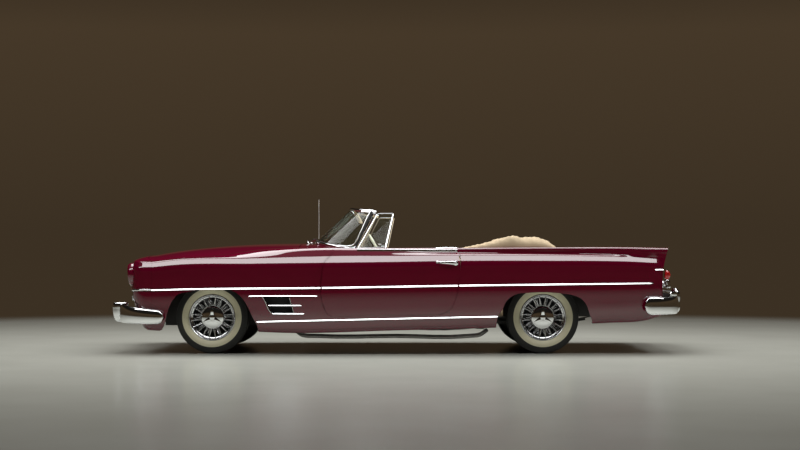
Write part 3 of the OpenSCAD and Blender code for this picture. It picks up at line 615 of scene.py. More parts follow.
def canvas():
    f = Finish("tan_canvas", bpy.context.scene.car_colours.canvas, Specular_IOR_Level=0.15)
    weave = f.bands(260.0, "X") + f.bands(260.0)
    f.shade(f.noise(11.0, 6.0) * 0.7 + weave * 0.15, 0.80, 1.08)
    f.rough(f.noise(40.0), 0.82, 0.95)
    f.bump(weave, 0.25, 0.0005)
    return f


def red_lens():
    f = Finish("red_lens", (0.52, 0.01, 0.012), Coat_Weight=1.0, Coat_Roughness=0.02)
    ribs = f.bands(90.0)
    f.shade(ribs, 0.55, 1.35)
    f.rough(ribs, 0.10, 0.25)
    return f


def lamp_glass():
    f = Finish("headlamp_lens", (0.72, 0.75, 0.76), Coat_Weight=1.0, Coat_Roughness=0.02)
    ribs = f.bands(42.0)
    f.shade(ribs, 0.62, 1.2)
    f.rough(ribs, 0.05, 0.2)
    f.set("Metallic", ribs * 0.3 + 0.3)
    f.bump(ribs, 0.6, 0.003)
    return f


def floor_paint():
    """Pale, slightly glossy floor that fades out far from the car."""
    f = Finish("pale_floor", (0.50, 0.51, 0.455), Specular_IOR_Level=0.6)
    f.shade(f.noise(0.6), 0.985, 1.015)
    f.rough(f.noise(1.2), 0.18, 0.24)
    away = f.node("ShaderNodeVectorMath", "Value", {"operation": "LENGTH"}, n0=f.where())
    f.set("Alpha", f.node("ShaderNodeMapRange", "Result", {"interpolation_type": "SMOOTHSTEP"}, Value=away,
                          From_Min=FADE_START, From_Max=FADE_END, To_Min=1.0, To_Max=0.0))
    return f


SPECIAL_FINISHES = {"leather": hide, "canvas": canvas, "red": red_lens, "lamp": lamp_glass,
                    "floor": floor_paint}
FINISHES = {}


def finish(name):
    """The named finish's material, made when it is first asked for."""
    if name not in FINISHES:
        special = SPECIAL_FINISHES.get(name)
        made = special() if special else plain_finish(*PLAIN_FINISHES[name])
        FINISHES[name] = made.material
    return FINISHES[name]


# ---------- body panels ----------

def door_outline(grow=0.0):
    """The door's outline in x and z, made larger or smaller all round."""
    loop = np.concatenate([spline(DOOR_FRONT, 6), spline(DOOR_REAR, 6)])
    ahead = unit(np.roll(loop, -1, 0) - np.roll(loop, 1, 0))
    return loop + grow * np.column_stack([-ahead[:, 1], ahead[:, 0]])


def arch_outline(points):
    loop = spline(points, 8)
    return np.concatenate([loop, [(loop[-1][0], 100), (loop[0][0], 100)]])


def rectangle(x0, z0, x1, z1):
    return np.array([(x0, z0), (x1, z0), (x1, z1), (x0, z1)], float)


def skin_panel(name, low, high, keep, drop):
    """Part of the left side's skin: what lies in the outline keep, less the outlines in drop."""
    obj = shell(name, side_grid(low, high, SKIN_STEP), SKIN, "paint")
    cut(obj, [prism(keep, 0, REACH)], "INTERSECT")
    return cut(obj, [prism(o, 0, REACH) for o in drop])


VENT_OUTLINE = [(1162, 508), (1150, 486), (1098, 377), (1084, 362), (906, 362), (893, 375), (933, 508)]


def front_fender(name):
    return skin_panel(name, 500, NOSE_X, rectangle(540, 100, NOSE_X - 1, 1000),
                      [door_outline(-1.0), rectangle(0, 0, SILL_FRONT, 400), arch_outline(FRONT_ARCH),
                       np.array(VENT_OUTLINE, float)])


def quarter_panel(name):
    return skin_panel(name, -2400, -440, rectangle(-2500, 100, -440, 1000),
                      [door_outline(-1.0), rectangle(SILL_REAR, 0, 129, 420), arch_outline(REAR_ARCH)])


def sill_panel(name):
    return skin_panel(name, -520, 640, rectangle(SILL_REAR, 100, SILL_FRONT, 400), [door_outline(-1.0)])


def door_shell(name):
    """The door's steel: its outer surface filled in to the flat inner side."""
    g = side_grid(-640, 720, SKIN_STEP)
    m = g.shape[1]
    inner = g.copy()
    inner[:, :, 1] = np.minimum(DOOR_INNER_Y, g[:, :, 1] - 2)
    share = np.linspace(0, 1, m)[None, :]
    inner[:, :, 2] = (g[:, :1, 2] + 2) * (1 - share) + (g[:, -1:, 2] - 2) * share
    obj = between(name, g, inner, "paint")
    cut(obj, [prism(door_outline(SHUT_GAP + 1.2), 800, REACH)], "INTERSECT")
    wedge = np.array([(-660, 815), (-498, 815), (-570, 1035), (-660, 1035)], float)
    return cut(obj, [tube_grid("wedge", [[(x, y, z) for x, y in wedge] for z in (862, 0)], None)])


def door_seal(name):
    """Rubber on the body's edge within the door's gap, which keeps the gap dark."""
    x, z = door_outline(0.5)[9:-9].T
    path = np.column_stack([x, [side_y(a, b) - 9 for a, b in zip(x, z)], z])
    return sweep(name, path, oval(3, 5.5, 8, 0.6), "rubber", (0, 1, 0))


def lid(name, xs, halves, centre, side, thickness):
    """A crowned lid with rings at xs, halves wide each way, between the tables' heights."""
    v = 1 - 2 * np.arange(LID_COLUMNS + 1) / LID_COLUMNS
    rings = []
    for x, w in zip(xs, halves):
        edge = curve(side, x)
        z = edge + (curve(centre, x) - edge) * (1 - np.abs(v) ** LID_CROWN)
        rings.append(np.column_stack([np.full(len(v), x), v * w, z]))
    return shell(name, np.array(rings), thickness, "paint")


def hood_lid():
    xs = np.concatenate([np.linspace(866, NOSE_X, 60), NOSE_X + np.array([14, 28, 42, 54, 64, 71, 76, 79])])
    ahead = np.maximum(xs - NOSE_X, 0)
    edge = line("edge_y", np.minimum(xs, NOSE_X)) - SHUT_GAP - NOSE_TAPER * ahead
    corner = 2 / NOSE_POWER
    halves = edge * (1 - (ahead / 89) ** corner) ** (1 / corner)
    return lid("hood_lid", xs, halves, HOOD_TOP, LINES["edge_z"], 12)


def deck_panel(name, low, high, trim):
    xs = np.linspace(low, high, max(3, int((high - low) / 20)))
    return lid(name, xs, line("edge_y", xs) - trim, DECK_TOP, LINES["edge_z"], 12)


GRILLE_HALF = 470.0
GRILLE_LOW = 440.0
GRILLE_HIGH = 640.0
GRILLE_ROUND = 70.0
LAMP = np.array([2228.0, 742.0, 695.0])


def grille_outline():
    """Points (y, z) of the grille's opening, a rectangle with round corners."""
    t = np.linspace(0, math.pi / 2, 10)
    corner = np.column_stack([np.cos(t), np.sin(t)]) * GRILLE_ROUND
    x = GRILLE_HALF - GRILLE_ROUND
    up = (GRILLE_HIGH - GRILLE_LOW) / 2 - GRILLE_ROUND
    quarter = [corner + (x, up), corner[::-1] * (-1, 1) + (-x, up), -corner + (-x, -up),
               corner[::-1] * (1, -1) + (x, -up)]
    return np.concatenate(quarter) + (0, (GRILLE_LOW + GRILLE_HIGH) / 2)


def nose_shell():
    """The whole nose from side to side, open at its grille and lamps."""
    angles = np.concatenate([np.linspace(90, 6, 43), [3, 0]])
    left = [nose_ring(a) for a in angles]
    right = [ring * (1, -1, 1) for ring in left[-2::-1]]
    obj = shell("nose_shell", np.array(left + right), 8, "paint")
    y, z = grille_outline().T
    holes = [tube_grid("hole", [[(x, a, b) for a, b in zip(y, z)] for x in (2500, 2100)], None)]
    for side in (1, -1):
        profile = [(0, 0), (92, 0), (92, 300), (0, 300)]
        holes.append(lathe("hole", profile, LAMP * (1, side, 1), (1, 0, 0), None))
    return cut(obj, holes)


TAIL_HALF = 834


def tail_shell():
    """The tail panel, turned forward at its top into a ledge below the boot lid's edge."""
    zs = np.linspace(384, 782, 21)
    rings = []
    low, high = line("edge_z", -2322), curve(DECK_TOP, -2322)
    for y in np.linspace(-TAIL_HALF, TAIL_HALF, 49):
        bow, drop = 34 * (1 - (y / 860) ** 2), 6 * (y / TAIL_HALF) ** 2
        ring = [(curve(TAIL_X, z) + 4 - bow, y, z - drop) for z in zs]
        ledge = min(low + (high - low) * (1 - abs(y / TAIL_HALF) ** LID_CROWN) - 17, 798)
        x = ring[-1][0]
        ring += [(x - 1, y, max(ledge - 4, ring[-1][2] + 2)), (x + 4, y, max(ledge, ring[-1][2] + 4)),
                 (-2326, y, ledge + 1), (-2318, y, ledge)]
        rings.append(ring)
    return shell("tail_shell", np.array(rings, float), 6, "paint")


def cowl_shell():
    xs = np.linspace(500, 860, 19)
    side = [(500, 906), (560, 917), (650, 933), (860, 938)]
    top = [(500, 962), (680, 975), (860, 980)]
    return lid("cowl_shell", xs, line("edge_y", xs) - 3, top, side, 8)


# ---------- trim on the side ----------

def side_path(points, lift=0.0):
    """Points (x, z) laid on the left side's surface."""
    return np.array([(x, side_y(x, z) + lift, z) for x, z in points])


def strip(name, points, half, depth, steps=16, ends=(1, 1)):
    """A ridged moulding laid on the side along points in x and z, tapering at its free ends."""
    path = side_path(spline(points, steps), -1.0)
    n = len(path)
    far = np.minimum(np.where(ends[0], np.arange(n), n), np.where(ends[1], np.arange(n)[::-1], n))
    taper = np.sqrt(np.clip((far + 0.25) / 2.0, 0, 1))
    up = 1 if path[-1, 0] < path[0, 0] else -1
    profile = [(0, -up * half), (0.8 * depth, -0.9 * up * half), (depth, -0.5 * up * half),
               (max(depth - 0.81 * half, 0), 0.85 * up * half), (-1, up * half)]
    if np.ptp(path[:, 0]) < np.ptp(path[:, 2]):
        profile, up = bead(depth, half), 1
    return sweep(name, path, profile[::up], "chrome", (0, 1, 0),
                 np.column_stack([taper, taper]), sharp=25)


VENT_BARS = (([(1290, 510), (1200, 512), (1000, 513), (690, 512)], 4),
             ([(1172, 509), (1154, 484), (1104, 380), (1084, 358)], 5),
             ([(1118, 430), (980, 430), (829, 430)], 3.8),
             ([(1090, 359), (960, 358), (805, 358)], 4),
             ([(935, 508), (914, 435), (893, 362)], 4))
# back and four walls; y is from the body's side
VENT_POCKET = ((860, -70, 346, 1182, -62, 520), (860, -66, 346, 1182, -9, 350),
               (860, -66, 516, 1182, -9, 520), (860, -66, 346, 864, -9, 520),
               (1178, -66, 346, 1182, -9, 520))


def moulding_points(low, high):
    return [(x, line("moulding_z", x)) for x in np.linspace(low, high, 9)]


def rocker_points(low, high):
    return [(x, line("rocker_z", x)) for x in np.linspace(low, high, 7)]


# ---------- wheels ----------

TYRE_PROFILE = [(192, -62), (204.5, -71), (222, -85), (240, -90.5), (258, -91), (274, -89), (296, -82),
                (306, -75), (312, -66), (316.5, -54)]
TREAD_R = 319.5
GROOVES = (-36, -18, 0, 18, 36)
WHITEWALL = (262.0, 205.0)   # its outer and inner radius


def tyre_rings():
    """The tyre's outer profile (radius, across), with the grooves of its tread."""
    tread = [(TREAD_R - 1.5, -50)]
    for g in GROOVES:
        tread += [(TREAD_R, g - 3), (TREAD_R - 7, g - 2.4), (TREAD_R - 7, g + 2.4), (TREAD_R, g + 3)]
    tread.append((TREAD_R - 1.5, 50))
    return TYRE_PROFILE + tread + [(r, -h) for r, h in reversed(TYRE_PROFILE)]


def tyre_mesh(name, centre, side):
    """A tyre with its whitewall on the outer side."""
    profile = tyre_rings()
    outside = [(r, h) for r, h in profile if h > 50 and r < 310]
    black = [p for p in profile if p not in outside]
    high, low = WHITEWALL
    radii, heights = np.array(sorted(outside)).T

    def wall(rs, lift=0.0):
        return [(r, float(np.interp(r, radii, heights)) + lift) for r in rs]

    shoulder = wall([312, 306, 296, 284, 274, high + 3, high + 1.5])
    band = wall([high, high - 1, 252, 240, 228, 216, low + 1], 0.6)
    lower = [(low, 71), (198, 67), (193, 62), (193, -60), (192, -62)]
    axis = (0, side, 0)
    parts = [lathe(name + "_tread", black + shoulder + [band[0]], centre, axis, "rubber", 128, 28),
             lathe(name + "_wall", band, centre, axis, "whitewall", 128),
             lathe(name + "_bead", [band[-1]] + lower, centre, axis, "rubber", 128)]
    return join(name, parts)


RIM_OUTER = [(203, 76), (203, 70), (194, 65), (190, 62), (190, 47), (183, 40), (172, 30), (168, 20),
             (168, -20), (172, -30), (183, -40), (190, -47), (190, -62), (194, -65), (203, -70),
             (203, -76)]
RIM_INNER = [(199, -77), (190, -70), (186, -64), (186, -48), (178, -44), (168, -33), (164, -20),
             (164, 20), (168, 33), (178, 44), (186, 48), (186, 64), (190, 70), (199, 77)]
# name, profile (radius, height), finish, segments, sharp angle
WHEEL_TURNED = (
    ("_rim", RIM_OUTER + RIM_INNER + RIM_OUTER[:1], "wheel_chrome", 128, 30),
    ("_hub", [(0, 50), (48, 50), (54, 46), (54, 38), (44, 30), (44, -20), (58, -24), (58, -32), (0, -32)],
     "wheel_chrome", 48, 35),
    ("_drum", [(0, -36), (160, -36), (163, -40), (163, -56), (0, -58)], "vent_black", 64, 35),
    ("_sleeve", [(176, -42), (166, -33), (162, -20), (162, 16), (160, 16), (160, -40), (176, -42)],
     "vent_black", 96, 35),
    ("_centre", [(0, 70), (30, 69), (60, 65), (85, 59), (100, 52), (104, 47), (101, 44), (85, 50),
                 (50, 50), (0, 50)], "chrome", 96, 35),
    ("_cap", [(0, 84), (14, 83), (24, 80), (30, 74), (32, 60), (0, 60)], "chrome", 48, 35),
)
# a row's inner and outer ends (radius, height), how many spokes each way, and how far they lean in degrees
SPOKE_ROWS = ((60, 44, 186, 50, 20, 9), (60, 34, 167, 18, 10, 16), (54, -28, 167, -12, 10, 14))
EAR_SIZES = [(1, 1.15), (1, 1.1), (1, 1), (1, 0.95), (0.95, 0.9), (0.9, 0.85), (0.85, 0.8), (0.8, 0.72),
             (0.7, 0.62), (0.55, 0.48), (0.3, 0.25)]


def wheel_mesh(name, centre, side):
    """A wire wheel: rim, 80 spokes in three rows, drum, dished centre and three-eared spinner."""
    axis = np.array([0, side, 0], float)
    bright = "wheel_chrome"
    centre = np.asarray(centre, float)
    parts = [lathe(name + part, profile, centre, axis, look, segments, sharp)
             for part, profile, look, segments, sharp in WHEEL_TURNED]

    def at(r, angle, height):
        a = math.radians(angle)
        return centre + (r * math.cos(a), 0, r * math.sin(a)) + height * axis

    for row, (r0, h0, r1, h1, count, lean) in enumerate(SPOKE_ROWS):
        for k in range(count):
            base = 360 * (k + row / 3) / count
            for way in (-1, 1):
                a, b = at(r0, base, h0), at(r1, base + way * lean, h1)
                parts.append(sweep("spoke", [a, a * 0.5 + b * 0.5 + axis * 0.5, b], oval(2.5, 2.5, 6), bright,
                                   axis))
                parts.append(sweep("nipple", [b, b + (a - b) * 0.07], oval(4.6, 4.6, 6), bright, axis))
    for turn in (90, 210, 330):
        ear = spline([at(18, turn, 74), at(52, turn, 80), at(86, turn, 76)], 5)
        parts.append(sweep("ear", ear, oval(6, 15, 12, 0.8), "chrome", axis, EAR_SIZES))
    return join(name, parts)


# ---------- bumpers, grille and lamps ----------

FRONT_BUMPER = [(2036, 961, 324), (2110, 966, 328), (2220, 958, 334), (2330, 905, 343), (2412, 790, 350),
                (2452, 668, 352), (2468, 560, 353)]
FRONT_HALVES = [57, 62, 68, 75, 80, 83, 84]


def blade_profile(depth, half):
    """A bumper blade's profile: full and round outside, hollow and flat inside."""
    t = np.radians(np.linspace(-90, 90, 14))
    outer = np.column_stack([depth * np.cos(t) ** 0.75, half * np.sin(t)])
    inner = np.column_stack([depth * np.cos(t[::-1]) * 0.6 - 6, (half - 5) * np.sin(t[::-1])])
    return np.concatenate([outer, inner])


def bumper_blade(name, path, depth, half, heights=None):
    """A blade along path, half high each way, or as the list heights gives at the path's points."""
    line_path = spline(path, 7)
    n = len(line_path)
    ahead = unit(np.gradient(line_path, axis=0))
    out = np.column_stack([ahead[:, 1], -ahead[:, 0], np.zeros(n)])
    out *= np.sign((out * (line_path * (1, 1, 0))).sum(1, keepdims=True))
    run = np.concatenate([[0], np.cumsum(np.linalg.norm(np.diff(line_path, axis=0), axis=1))])
    grow = np.sqrt(np.clip(1 - (1 - np.clip(run / 50, 0, 1)) ** 2, 0.02, 1))
    tall = np.interp(np.arange(n) / 7, np.arange(len(path)), heights or [half] * len(path)) / half
    return sweep(name, line_path, blade_profile(depth, half), "chrome", out,
                 np.column_stack([0.35 + 0.65 * grow, grow * tall]), sharp=CREASE)


def stack(name, levels, look):
    """A solid lofted up through levels (x, y, z, half length, half width)."""
    rings = []
    for x, y, z, a, b in spline(levels, 6):
        rim = oval(a, b, 28, 0.8)
        rings.append(np.column_stack([x + rim[:, 0], y + rim[:, 1], np.full(len(rim), z)]))
    obj = tube_grid(name, rings, look, sharp=CREASE)
    weld(obj)
    soften(obj, CREASE)
    return obj


def front_guard(name):
    return stack(name, [(2494, 560, 271, 18, 14), (2497, 560, 283, 30, 26), (2500, 560, 330, 47, 36),
                        (2494, 560, 385, 60, 40), (2486, 560, 422, 69, 40), (2482, 560, 440, 68, 34),
                        (2482, 560, 447, 50, 24)], "chrome")


def front_bumper_half(name):
    parts = [bumper_blade(name, FRONT_BUMPER, 24, 80, FRONT_HALVES), front_guard(name + "_guard")]
    parts.append(sweep(name + "_bar", spline([(2436, 560, 372), (2446, 280, 374), (2450, 0, 375)], 8),
                       oval(9, 17, 14), "chrome", (1, 0, 0), sharp=CREASE))
    parts.append(sweep(name + "_arm", [(2150, 430, 325), (2310, 485, 342), (2455, 535, 358)],
                       oval(9, 14, 12), "black_steel", (0, 1, 0)))
    return join(name, parts)


REAR_BUMPER = [(-2172, 952, 422), (-2230, 954, 423), (-2320, 938, 424), (-2410, 880, 426),
               (-2470, 780, 427), (-2502, 640, 428), (-2518, 480, 429), (-2528, 240, 430), (-2532, 0, 430)]


def rear_bumper_half(name):
    parts = [bumper_blade(name, REAR_BUMPER, 22, 77)]
    raised = [(x + 8, y - 4, z + 100) for x, y, z in REAR_BUMPER[3:]]
    parts.append(bumper_blade(name + "_upper", raised, 20, 24))
    parts.append(stack(name + "_guard", [(-2506, 520, 346, 16, 14), (-2514, 520, 360, 30, 26),
                                         (-2520, 520, 450, 37, 32), (-2520, 520, 535, 36, 32),
                                         (-2510, 520, 572, 18, 16)], "chrome"))
    parts.append(sweep(name + "_arm", [(-2290, 430, 420), (-2400, 450, 430), (-2500, 480, 440)],
                       oval(9, 20, 12), "black_steel", (0, 1, 0)))
    return join(name, parts)


def grille_x(x, y):
    """Place of the grille's middle x at y, bowed back to the sides."""
    return x - 46 * np.abs(y / 560) ** 3.4


def grille_mesh():
    """Egg-crate grille: a bright surround, thin upright bars and three level ones."""
    parts = []
    loop = grille_outline()
    front = grille_x(2380, loop[:, 0]) - (GRILLE_HIGH - loop[:, 1]) * 0.12
    ring = np.column_stack([front, loop])
    parts.append(sweep("surround", ring, oval(12, 10, 12), "chrome", (1, 0, 0), closed=True,
                       sharp=CREASE))
    for y in np.linspace(-440, 440, 31):
        past = max(0, abs(y) - (GRILLE_HALF - GRILLE_ROUND))
        inset = GRILLE_ROUND - math.sqrt(max(0, GRILLE_ROUND**2 - past**2))
        x = grille_x(2342, y)
        parts.append(box("bar", (x - 26, y - 2, GRILLE_LOW + inset), (x, y + 2, GRILLE_HIGH - inset),
                         "chrome"))
    for z in (475, 508, 541, 574, 607):
        ys = np.linspace(-462, 462, 25)
        path = np.column_stack([grille_x(2345, ys), ys, np.full(25, z)])
        parts.append(sweep("rail", path, oval(9, 3, 8), "chrome", (1, 0, 0)))
    return join("grille_crate", parts)


def headlamp(name):
    """A lamp under its hooded rim, with its ribbed lens."""
    x = 2328
    parts = [lathe(name + "_lens", [(0, 26), (30, 24), (60, 17), (80, 4), (84, -4), (84, -46), (0, -46)],
                   (x, LAMP[1], LAMP[2]), (1, 0, 0.03), "lamp", 64),
             lathe(name + "_rim", [(84, 0), (90, 10), (99, 8), (103, -6), (103, -30), (92, -40), (84, -40)],
                   (x, LAMP[1], LAMP[2]), (1, 0, 0.03), "chrome", 64, CREASE)]
    return join(name, parts)


def eyelid(name):
    """Painted tunnel round a headlamp, longer at its top."""
    t = np.linspace(0, 2 * math.pi, 49)
    rows = []
    for x, r in ((2250, 100), (2290, 107), (2325, 109), (2350, 107), (2368, 101), (2380, 92)):
        back = 18 * (1 - np.sin(t)) / 2 * max(0, x - 2310) / 72
        rows.append(np.column_stack([x - back, LAMP[1] + r * np.cos(t), LAMP[2] + r * np.sin(t)]))
    return shell(name, np.array(rows), 5, "paint", 50)


def parking_lamp(name):
    parts = [lathe(name, [(0, 30), (24, 27), (38, 14), (42, 0), (42, -30), (30, -70), (0, -90)],
                   (2330, 640, 490), (1, 0, 0), "chrome", 48, CREASE),
             lathe(name + "_lens", [(0, 36), (18, 34), (28, 26), (30, 16), (0, 16)], (2330, 640, 490),
                   (1, 0, 0), "lamp", 40)]
    return join(name, parts)


def tail_lamp(name):
    """Red lens between a bright spear and a bright foot, with a small reverse lamp below it."""
    parts = [stack(name, [(-2378, 856, 658, 9, 10), (-2380, 856, 665, 20, 20), (-2384, 858, 698, 26, 26),
                          (-2382, 858, 722, 21, 22), (-2379, 858, 735, 9, 10)], "red"),
             strip(name + "_spear", [(-2356, 741), (-2316, 742), (-2270, 741)], 4.5, 7, 8),
             stack(name + "_foot", [(-2386, 856, 578, 10, 10), (-2390, 858, 585, 22, 24),
                                    (-2392, 858, 606, 22, 24), (-2390, 858, 622, 22, 24),
                                    (-2384, 858, 650, 18, 20), (-2382, 858, 660, 8, 10)], "chrome"),
             lathe(name + "_back", [(0, 30), (20, 27), (30, 14), (32, 0), (28, -20), (0, -20)],
                   (-2366, 700, 610), (-1, 0, 0), "chrome", 40, CREASE)]
    return join(name, parts)


# ---------- glass ----------

GLASS_LOW = [(744, 0, 1003), (736, 250, 1000), (706, 450, 992), (642, 610, 976), (520, 722, 952),
             (372, 786, 926)]
GLASS_HIGH = [(440, 0, 1290), (434, 200, 1288), (405, 380, 1281), (345, 500, 1270), (272, 580, 1262),
              (204, 630, 1256)]
GLASS_EDGE = [(520, 737, 957), (429, 777, 949), (380, 784, 962), (360, 779, 990), (321, 744, 1073),
              (262, 680, 1205), (236, 656, 1254)]


def both_ways(points):
    """The left half's points continued across to the right side, from right to left."""
    p = np.asarray(points, float)
    return np.concatenate([p[:0:-1] * (1, -1, 1), p])


def windshield_rows(low, high, count=12):
    a, b = both_ways(spline(GLASS_LOW, 8)), both_ways(spline(GLASS_HIGH, 8))
    return np.array([a * (1 - s) + b * s for s in np.linspace(low, high, count)])


def windshield_frame():
    """Bright surround of the windshield: foot, head, pillars, corner caps and the glass's side edges."""
    rows = windshield_rows(0, 1, 2)
    foot, head = rows[0] + (0, 0, -11), rows[1] + (0, 0, 7)
    parts = [sweep("foot", foot, oval(15, 11, 12, 0.7), "chrome", (0, 0, 1), sharp=CREASE),
             sweep("head", head, oval(13, 12, 12, 0.7), "chrome", (0, 0, 1), sharp=CREASE)]
    for side in (1, -1):
        a, b = GLASS_LOW[-1], GLASS_HIGH[-1]
        low = np.array([a[0] + 2, side * a[1] + side * 2, a[2] - 16])
        high = np.array([b[0] + 2, side * b[1] + side * 2, b[2] + 10])
        parts.append(sweep("pillar", [low, (low + high) / 2, high], oval(8, 15, 12, 0.7),
                           "chrome", (0, side, 0), sharp=CREASE))
        edge = spline(GLASS_EDGE, 5) * (1, side, 1)
        cap = spline([(316, side * 572, 1263), (262, side * 606, 1259), (212, side * 637, 1253),
                      (184, side * 650, 1250)], 5)
        parts.append(sweep("cap", cap, oval(9, 19, 14, 0.7), "chrome", (0, side, 0.6),
                           np.column_stack([np.linspace(0.5, 1, 16)] * 2), sharp=CREASE))
        parts.append(sweep("glass_edge", edge, oval(4, 5, 8), "chrome", (0, side, 0), sharp=CREASE))
        post = (edge[10:] + low + (high - low) * np.linspace(0.1, 1, len(edge) - 10)[:, None]) / 2
        parts.append(sweep("post", post, oval(5, 13, 10, 0.7), "rubber", (0, side, 0), sharp=CREASE))
    seal = sweep("seal", rows[0] + (0, 0, 4), oval(4, 4, 8), "rubber", (0, 0, 1))
    return join("windshield_surround", parts + [seal])


def pane(name, corners):
    a, b, c, d = (np.array(p, float) for p in corners)
    s = np.linspace(0, 1, 6)[:, None, None]
    t = s.transpose(1, 0, 2)
    g = (a * (1 - t) + b * t) * (1 - s) + (d * (1 - t) + c * t) * s
    return shell(name, g, 4, "glass", 20)


VENT_CORNERS = [(338, 852, 933), (172, 668, 1240), (30, 690, 1240), (96, 855, 937)]


def vent_frame(name):
    """Bright frame of a door's vent window, with its pivots and its latch."""
    foot, peak, back_top, back_foot = np.array(VENT_CORNERS, float)
    thin, thick = oval(5, 4.5, 10, 0.8), oval(6, 6.5, 10, 0.8)
    parts = [sweep("bar", [a, (a + b) / 2, b], profile, "chrome", out)
             for a, b, profile, out in ((foot, peak, thin, (0, 1, 0.5)), (peak, back_top, thin, (0, 0, 1)),
                                        (back_foot, back_top, thick, (0, 1, 0.5)),
                                        (foot, back_foot, thin, (0, 0, 1)))]
    parts += [lathe("joint", [(0, 8), (7, 6), (8, 0), (7, -6), (0, -8)], p, (0, 1, 0), "chrome", 20, CREASE)
              for p in (peak, back_top)]
    latch = back_foot * 0.8 + foot * 0.2 + (0, -8, 26)
    parts.append(box("latch", latch - (14, 5, 5), latch + (14, 5, 5), "chrome", 3))
    return join(name, parts)


# ---------- cabin ----------

CUSHION_POINTS = 34
CUSHION_ROUND = 34.0
CUSHION_PINCH = 10.0


def cushion_net():
    """Points of a cube's six gridded faces, from -1 to 1, each once, and its faces."""
    t = np.linspace(-1, 1, CUSHION_POINTS)
    points, faces, index = [], [], {}

    def corner(p):
        key = tuple(int(round(c * 4096)) for c in p)
        if key not in index:
            index[key] = len(points)
            points.append(p)
        return index[key]

    for axis in range(3):
        for end in (-1.0, 1.0):
            ids = [[corner((a, b)[:axis] + (end,) + (a, b)[axis:]) for b in t] for a in t]
            flip = (end > 0) == (axis == 1)
            for i in range(CUSHION_POINTS - 1):
                for j in range(CUSHION_POINTS - 1):
                    face = (ids[i][j], ids[i + 1][j], ids[i + 1][j + 1], ids[i][j + 1])
                    faces.append(face[::-1] if flip else face)
    return np.array(points), faces


def cushion(name, low, high, crown, pleats):
    """A stuffed cushion between two corners: crowned top, sides drawn in, rounded edges and sewn pleats."""
    lo, hi = np.array(low, float), np.array(high, float)
    half, middle = (hi - lo) / 2, (hi + lo) / 2
    u, faces = cushion_net()
    r = CUSHION_ROUND
    inner = np.clip(u * half, -(half - r), half - r)
    ball = u * half - inner
    length = np.linalg.norm(ball, axis=1, keepdims=True)
    shape = inner + ball / np.maximum(length, 1e-6) * np.minimum(r, np.abs(ball).max(1, keepdims=True))
    for axis in range(3):
        a, b = (k for k in range(3) if k != axis)
        dome = (1 - u[:, a] ** 2) * (1 - u[:, b] ** 2)
        facing = np.clip((np.abs(u[:, axis]) - 0.8) / 0.2, 0, 1) * np.sign(u[:, axis])
        shape[:, axis] += (crown * dome ** 0.5 if axis == 2 else -CUSHION_PINCH * dome) * facing
    phase = (u[:, 1] + 1) / 2 * pleats
    groove = np.exp(-((phase - np.round(phase)) * 14) ** 2)
    puff = np.abs(np.sin(phase * math.pi)) ** 0.5
    inside = np.clip((0.86 - np.abs(u[:, 0])) * 9, 0, 1) * (np.abs(u[:, 1]) < 0.93)
    top = np.clip((u[:, 2] - 0.6) / 0.3, 0, 1)
    shape[:, 2] += (puff * 5 - groove * 9) * top * inside
    return mesh_object(name, shape + middle, faces, "leather", 180)


def upright_cushion(name, low, high, lean, pleats, crown=16.0):
    """A seat back: a lying cushion stood up, so that its pleated face looks forward."""
    lo, hi = np.array(low, float), np.array(high, float)
    half = (hi - lo)[::-1] / 2
    obj = cushion(name, -half, half, crown, pleats)
    co = coordinates(obj) / MM
    a = math.radians(lean)
    x, z = co[:, 2], co[:, 0] + half[0]
    turned = np.column_stack([x * math.cos(a) - z * math.sin(a), co[:, 1],
                              x * math.sin(a) + z * math.cos(a)])
    turned += ((lo[0] + hi[0]) / 2, (lo[1] + hi[1]) / 2, lo[2])
    return reshaped(obj, turned * MM)


STEER = np.array([150.0, 380.0, 884.0])
STEER_RIM, HORN_RING = 196, 132
STEER_ANGLE = math.radians(30)
STEER_AXIS = np.array([math.cos(STEER_ANGLE), 0, -math.sin(STEER_ANGLE)])


def steering_wheel_mesh():
    """Thin ivory rim with finger grips, a bright horn ring, three spokes and a bare hub cap."""
    back = -STEER_AXIS
    u, v = np.array([0, 1.0, 0]), np.cross(back, (0, 1.0, 0))
    t = np.linspace(0, 2 * math.pi, 144, endpoint=False)
    out = np.outer(np.cos(t), u) + np.outer(np.sin(t), v)
    grip = 1 + 0.07 * np.sin(t * 48)
    parts = [sweep("rim", STEER + STEER_RIM * out, oval(11, 11, 12), "ivory", out,
                   np.column_stack([grip, grip]), closed=True, sharp=60)]
    horn = STEER + back * 6 + HORN_RING * out
    parts.append(sweep("horn", horn, oval(4, 4, 8), "chrome", out, closed=True))
    for angle in (8, 172, 270):
        a = math.radians(angle)
        way = math.cos(a) * u + math.sin(a) * v
        path = [STEER + way * 30 - back * 8, STEER + way * 110 - back * 4, STEER + way * 190]
        parts.append(sweep("spoke", path, oval(6, 13, 10), "ivory", back))
    parts.append(lathe("hub", [(0, 30), (22, 27), (36, 16), (42, 0), (40, -18), (24, -40), (13, -44),
                               (13, -60), (0, -60)], STEER, back, "chrome", 64, CREASE))
    return join("steering_wheel_rim", parts)


DASH_HALF = 752
GAUGES = ((470, 52), (350, 52), (270, 26), (545, 26), (0, 36))    # y and radius


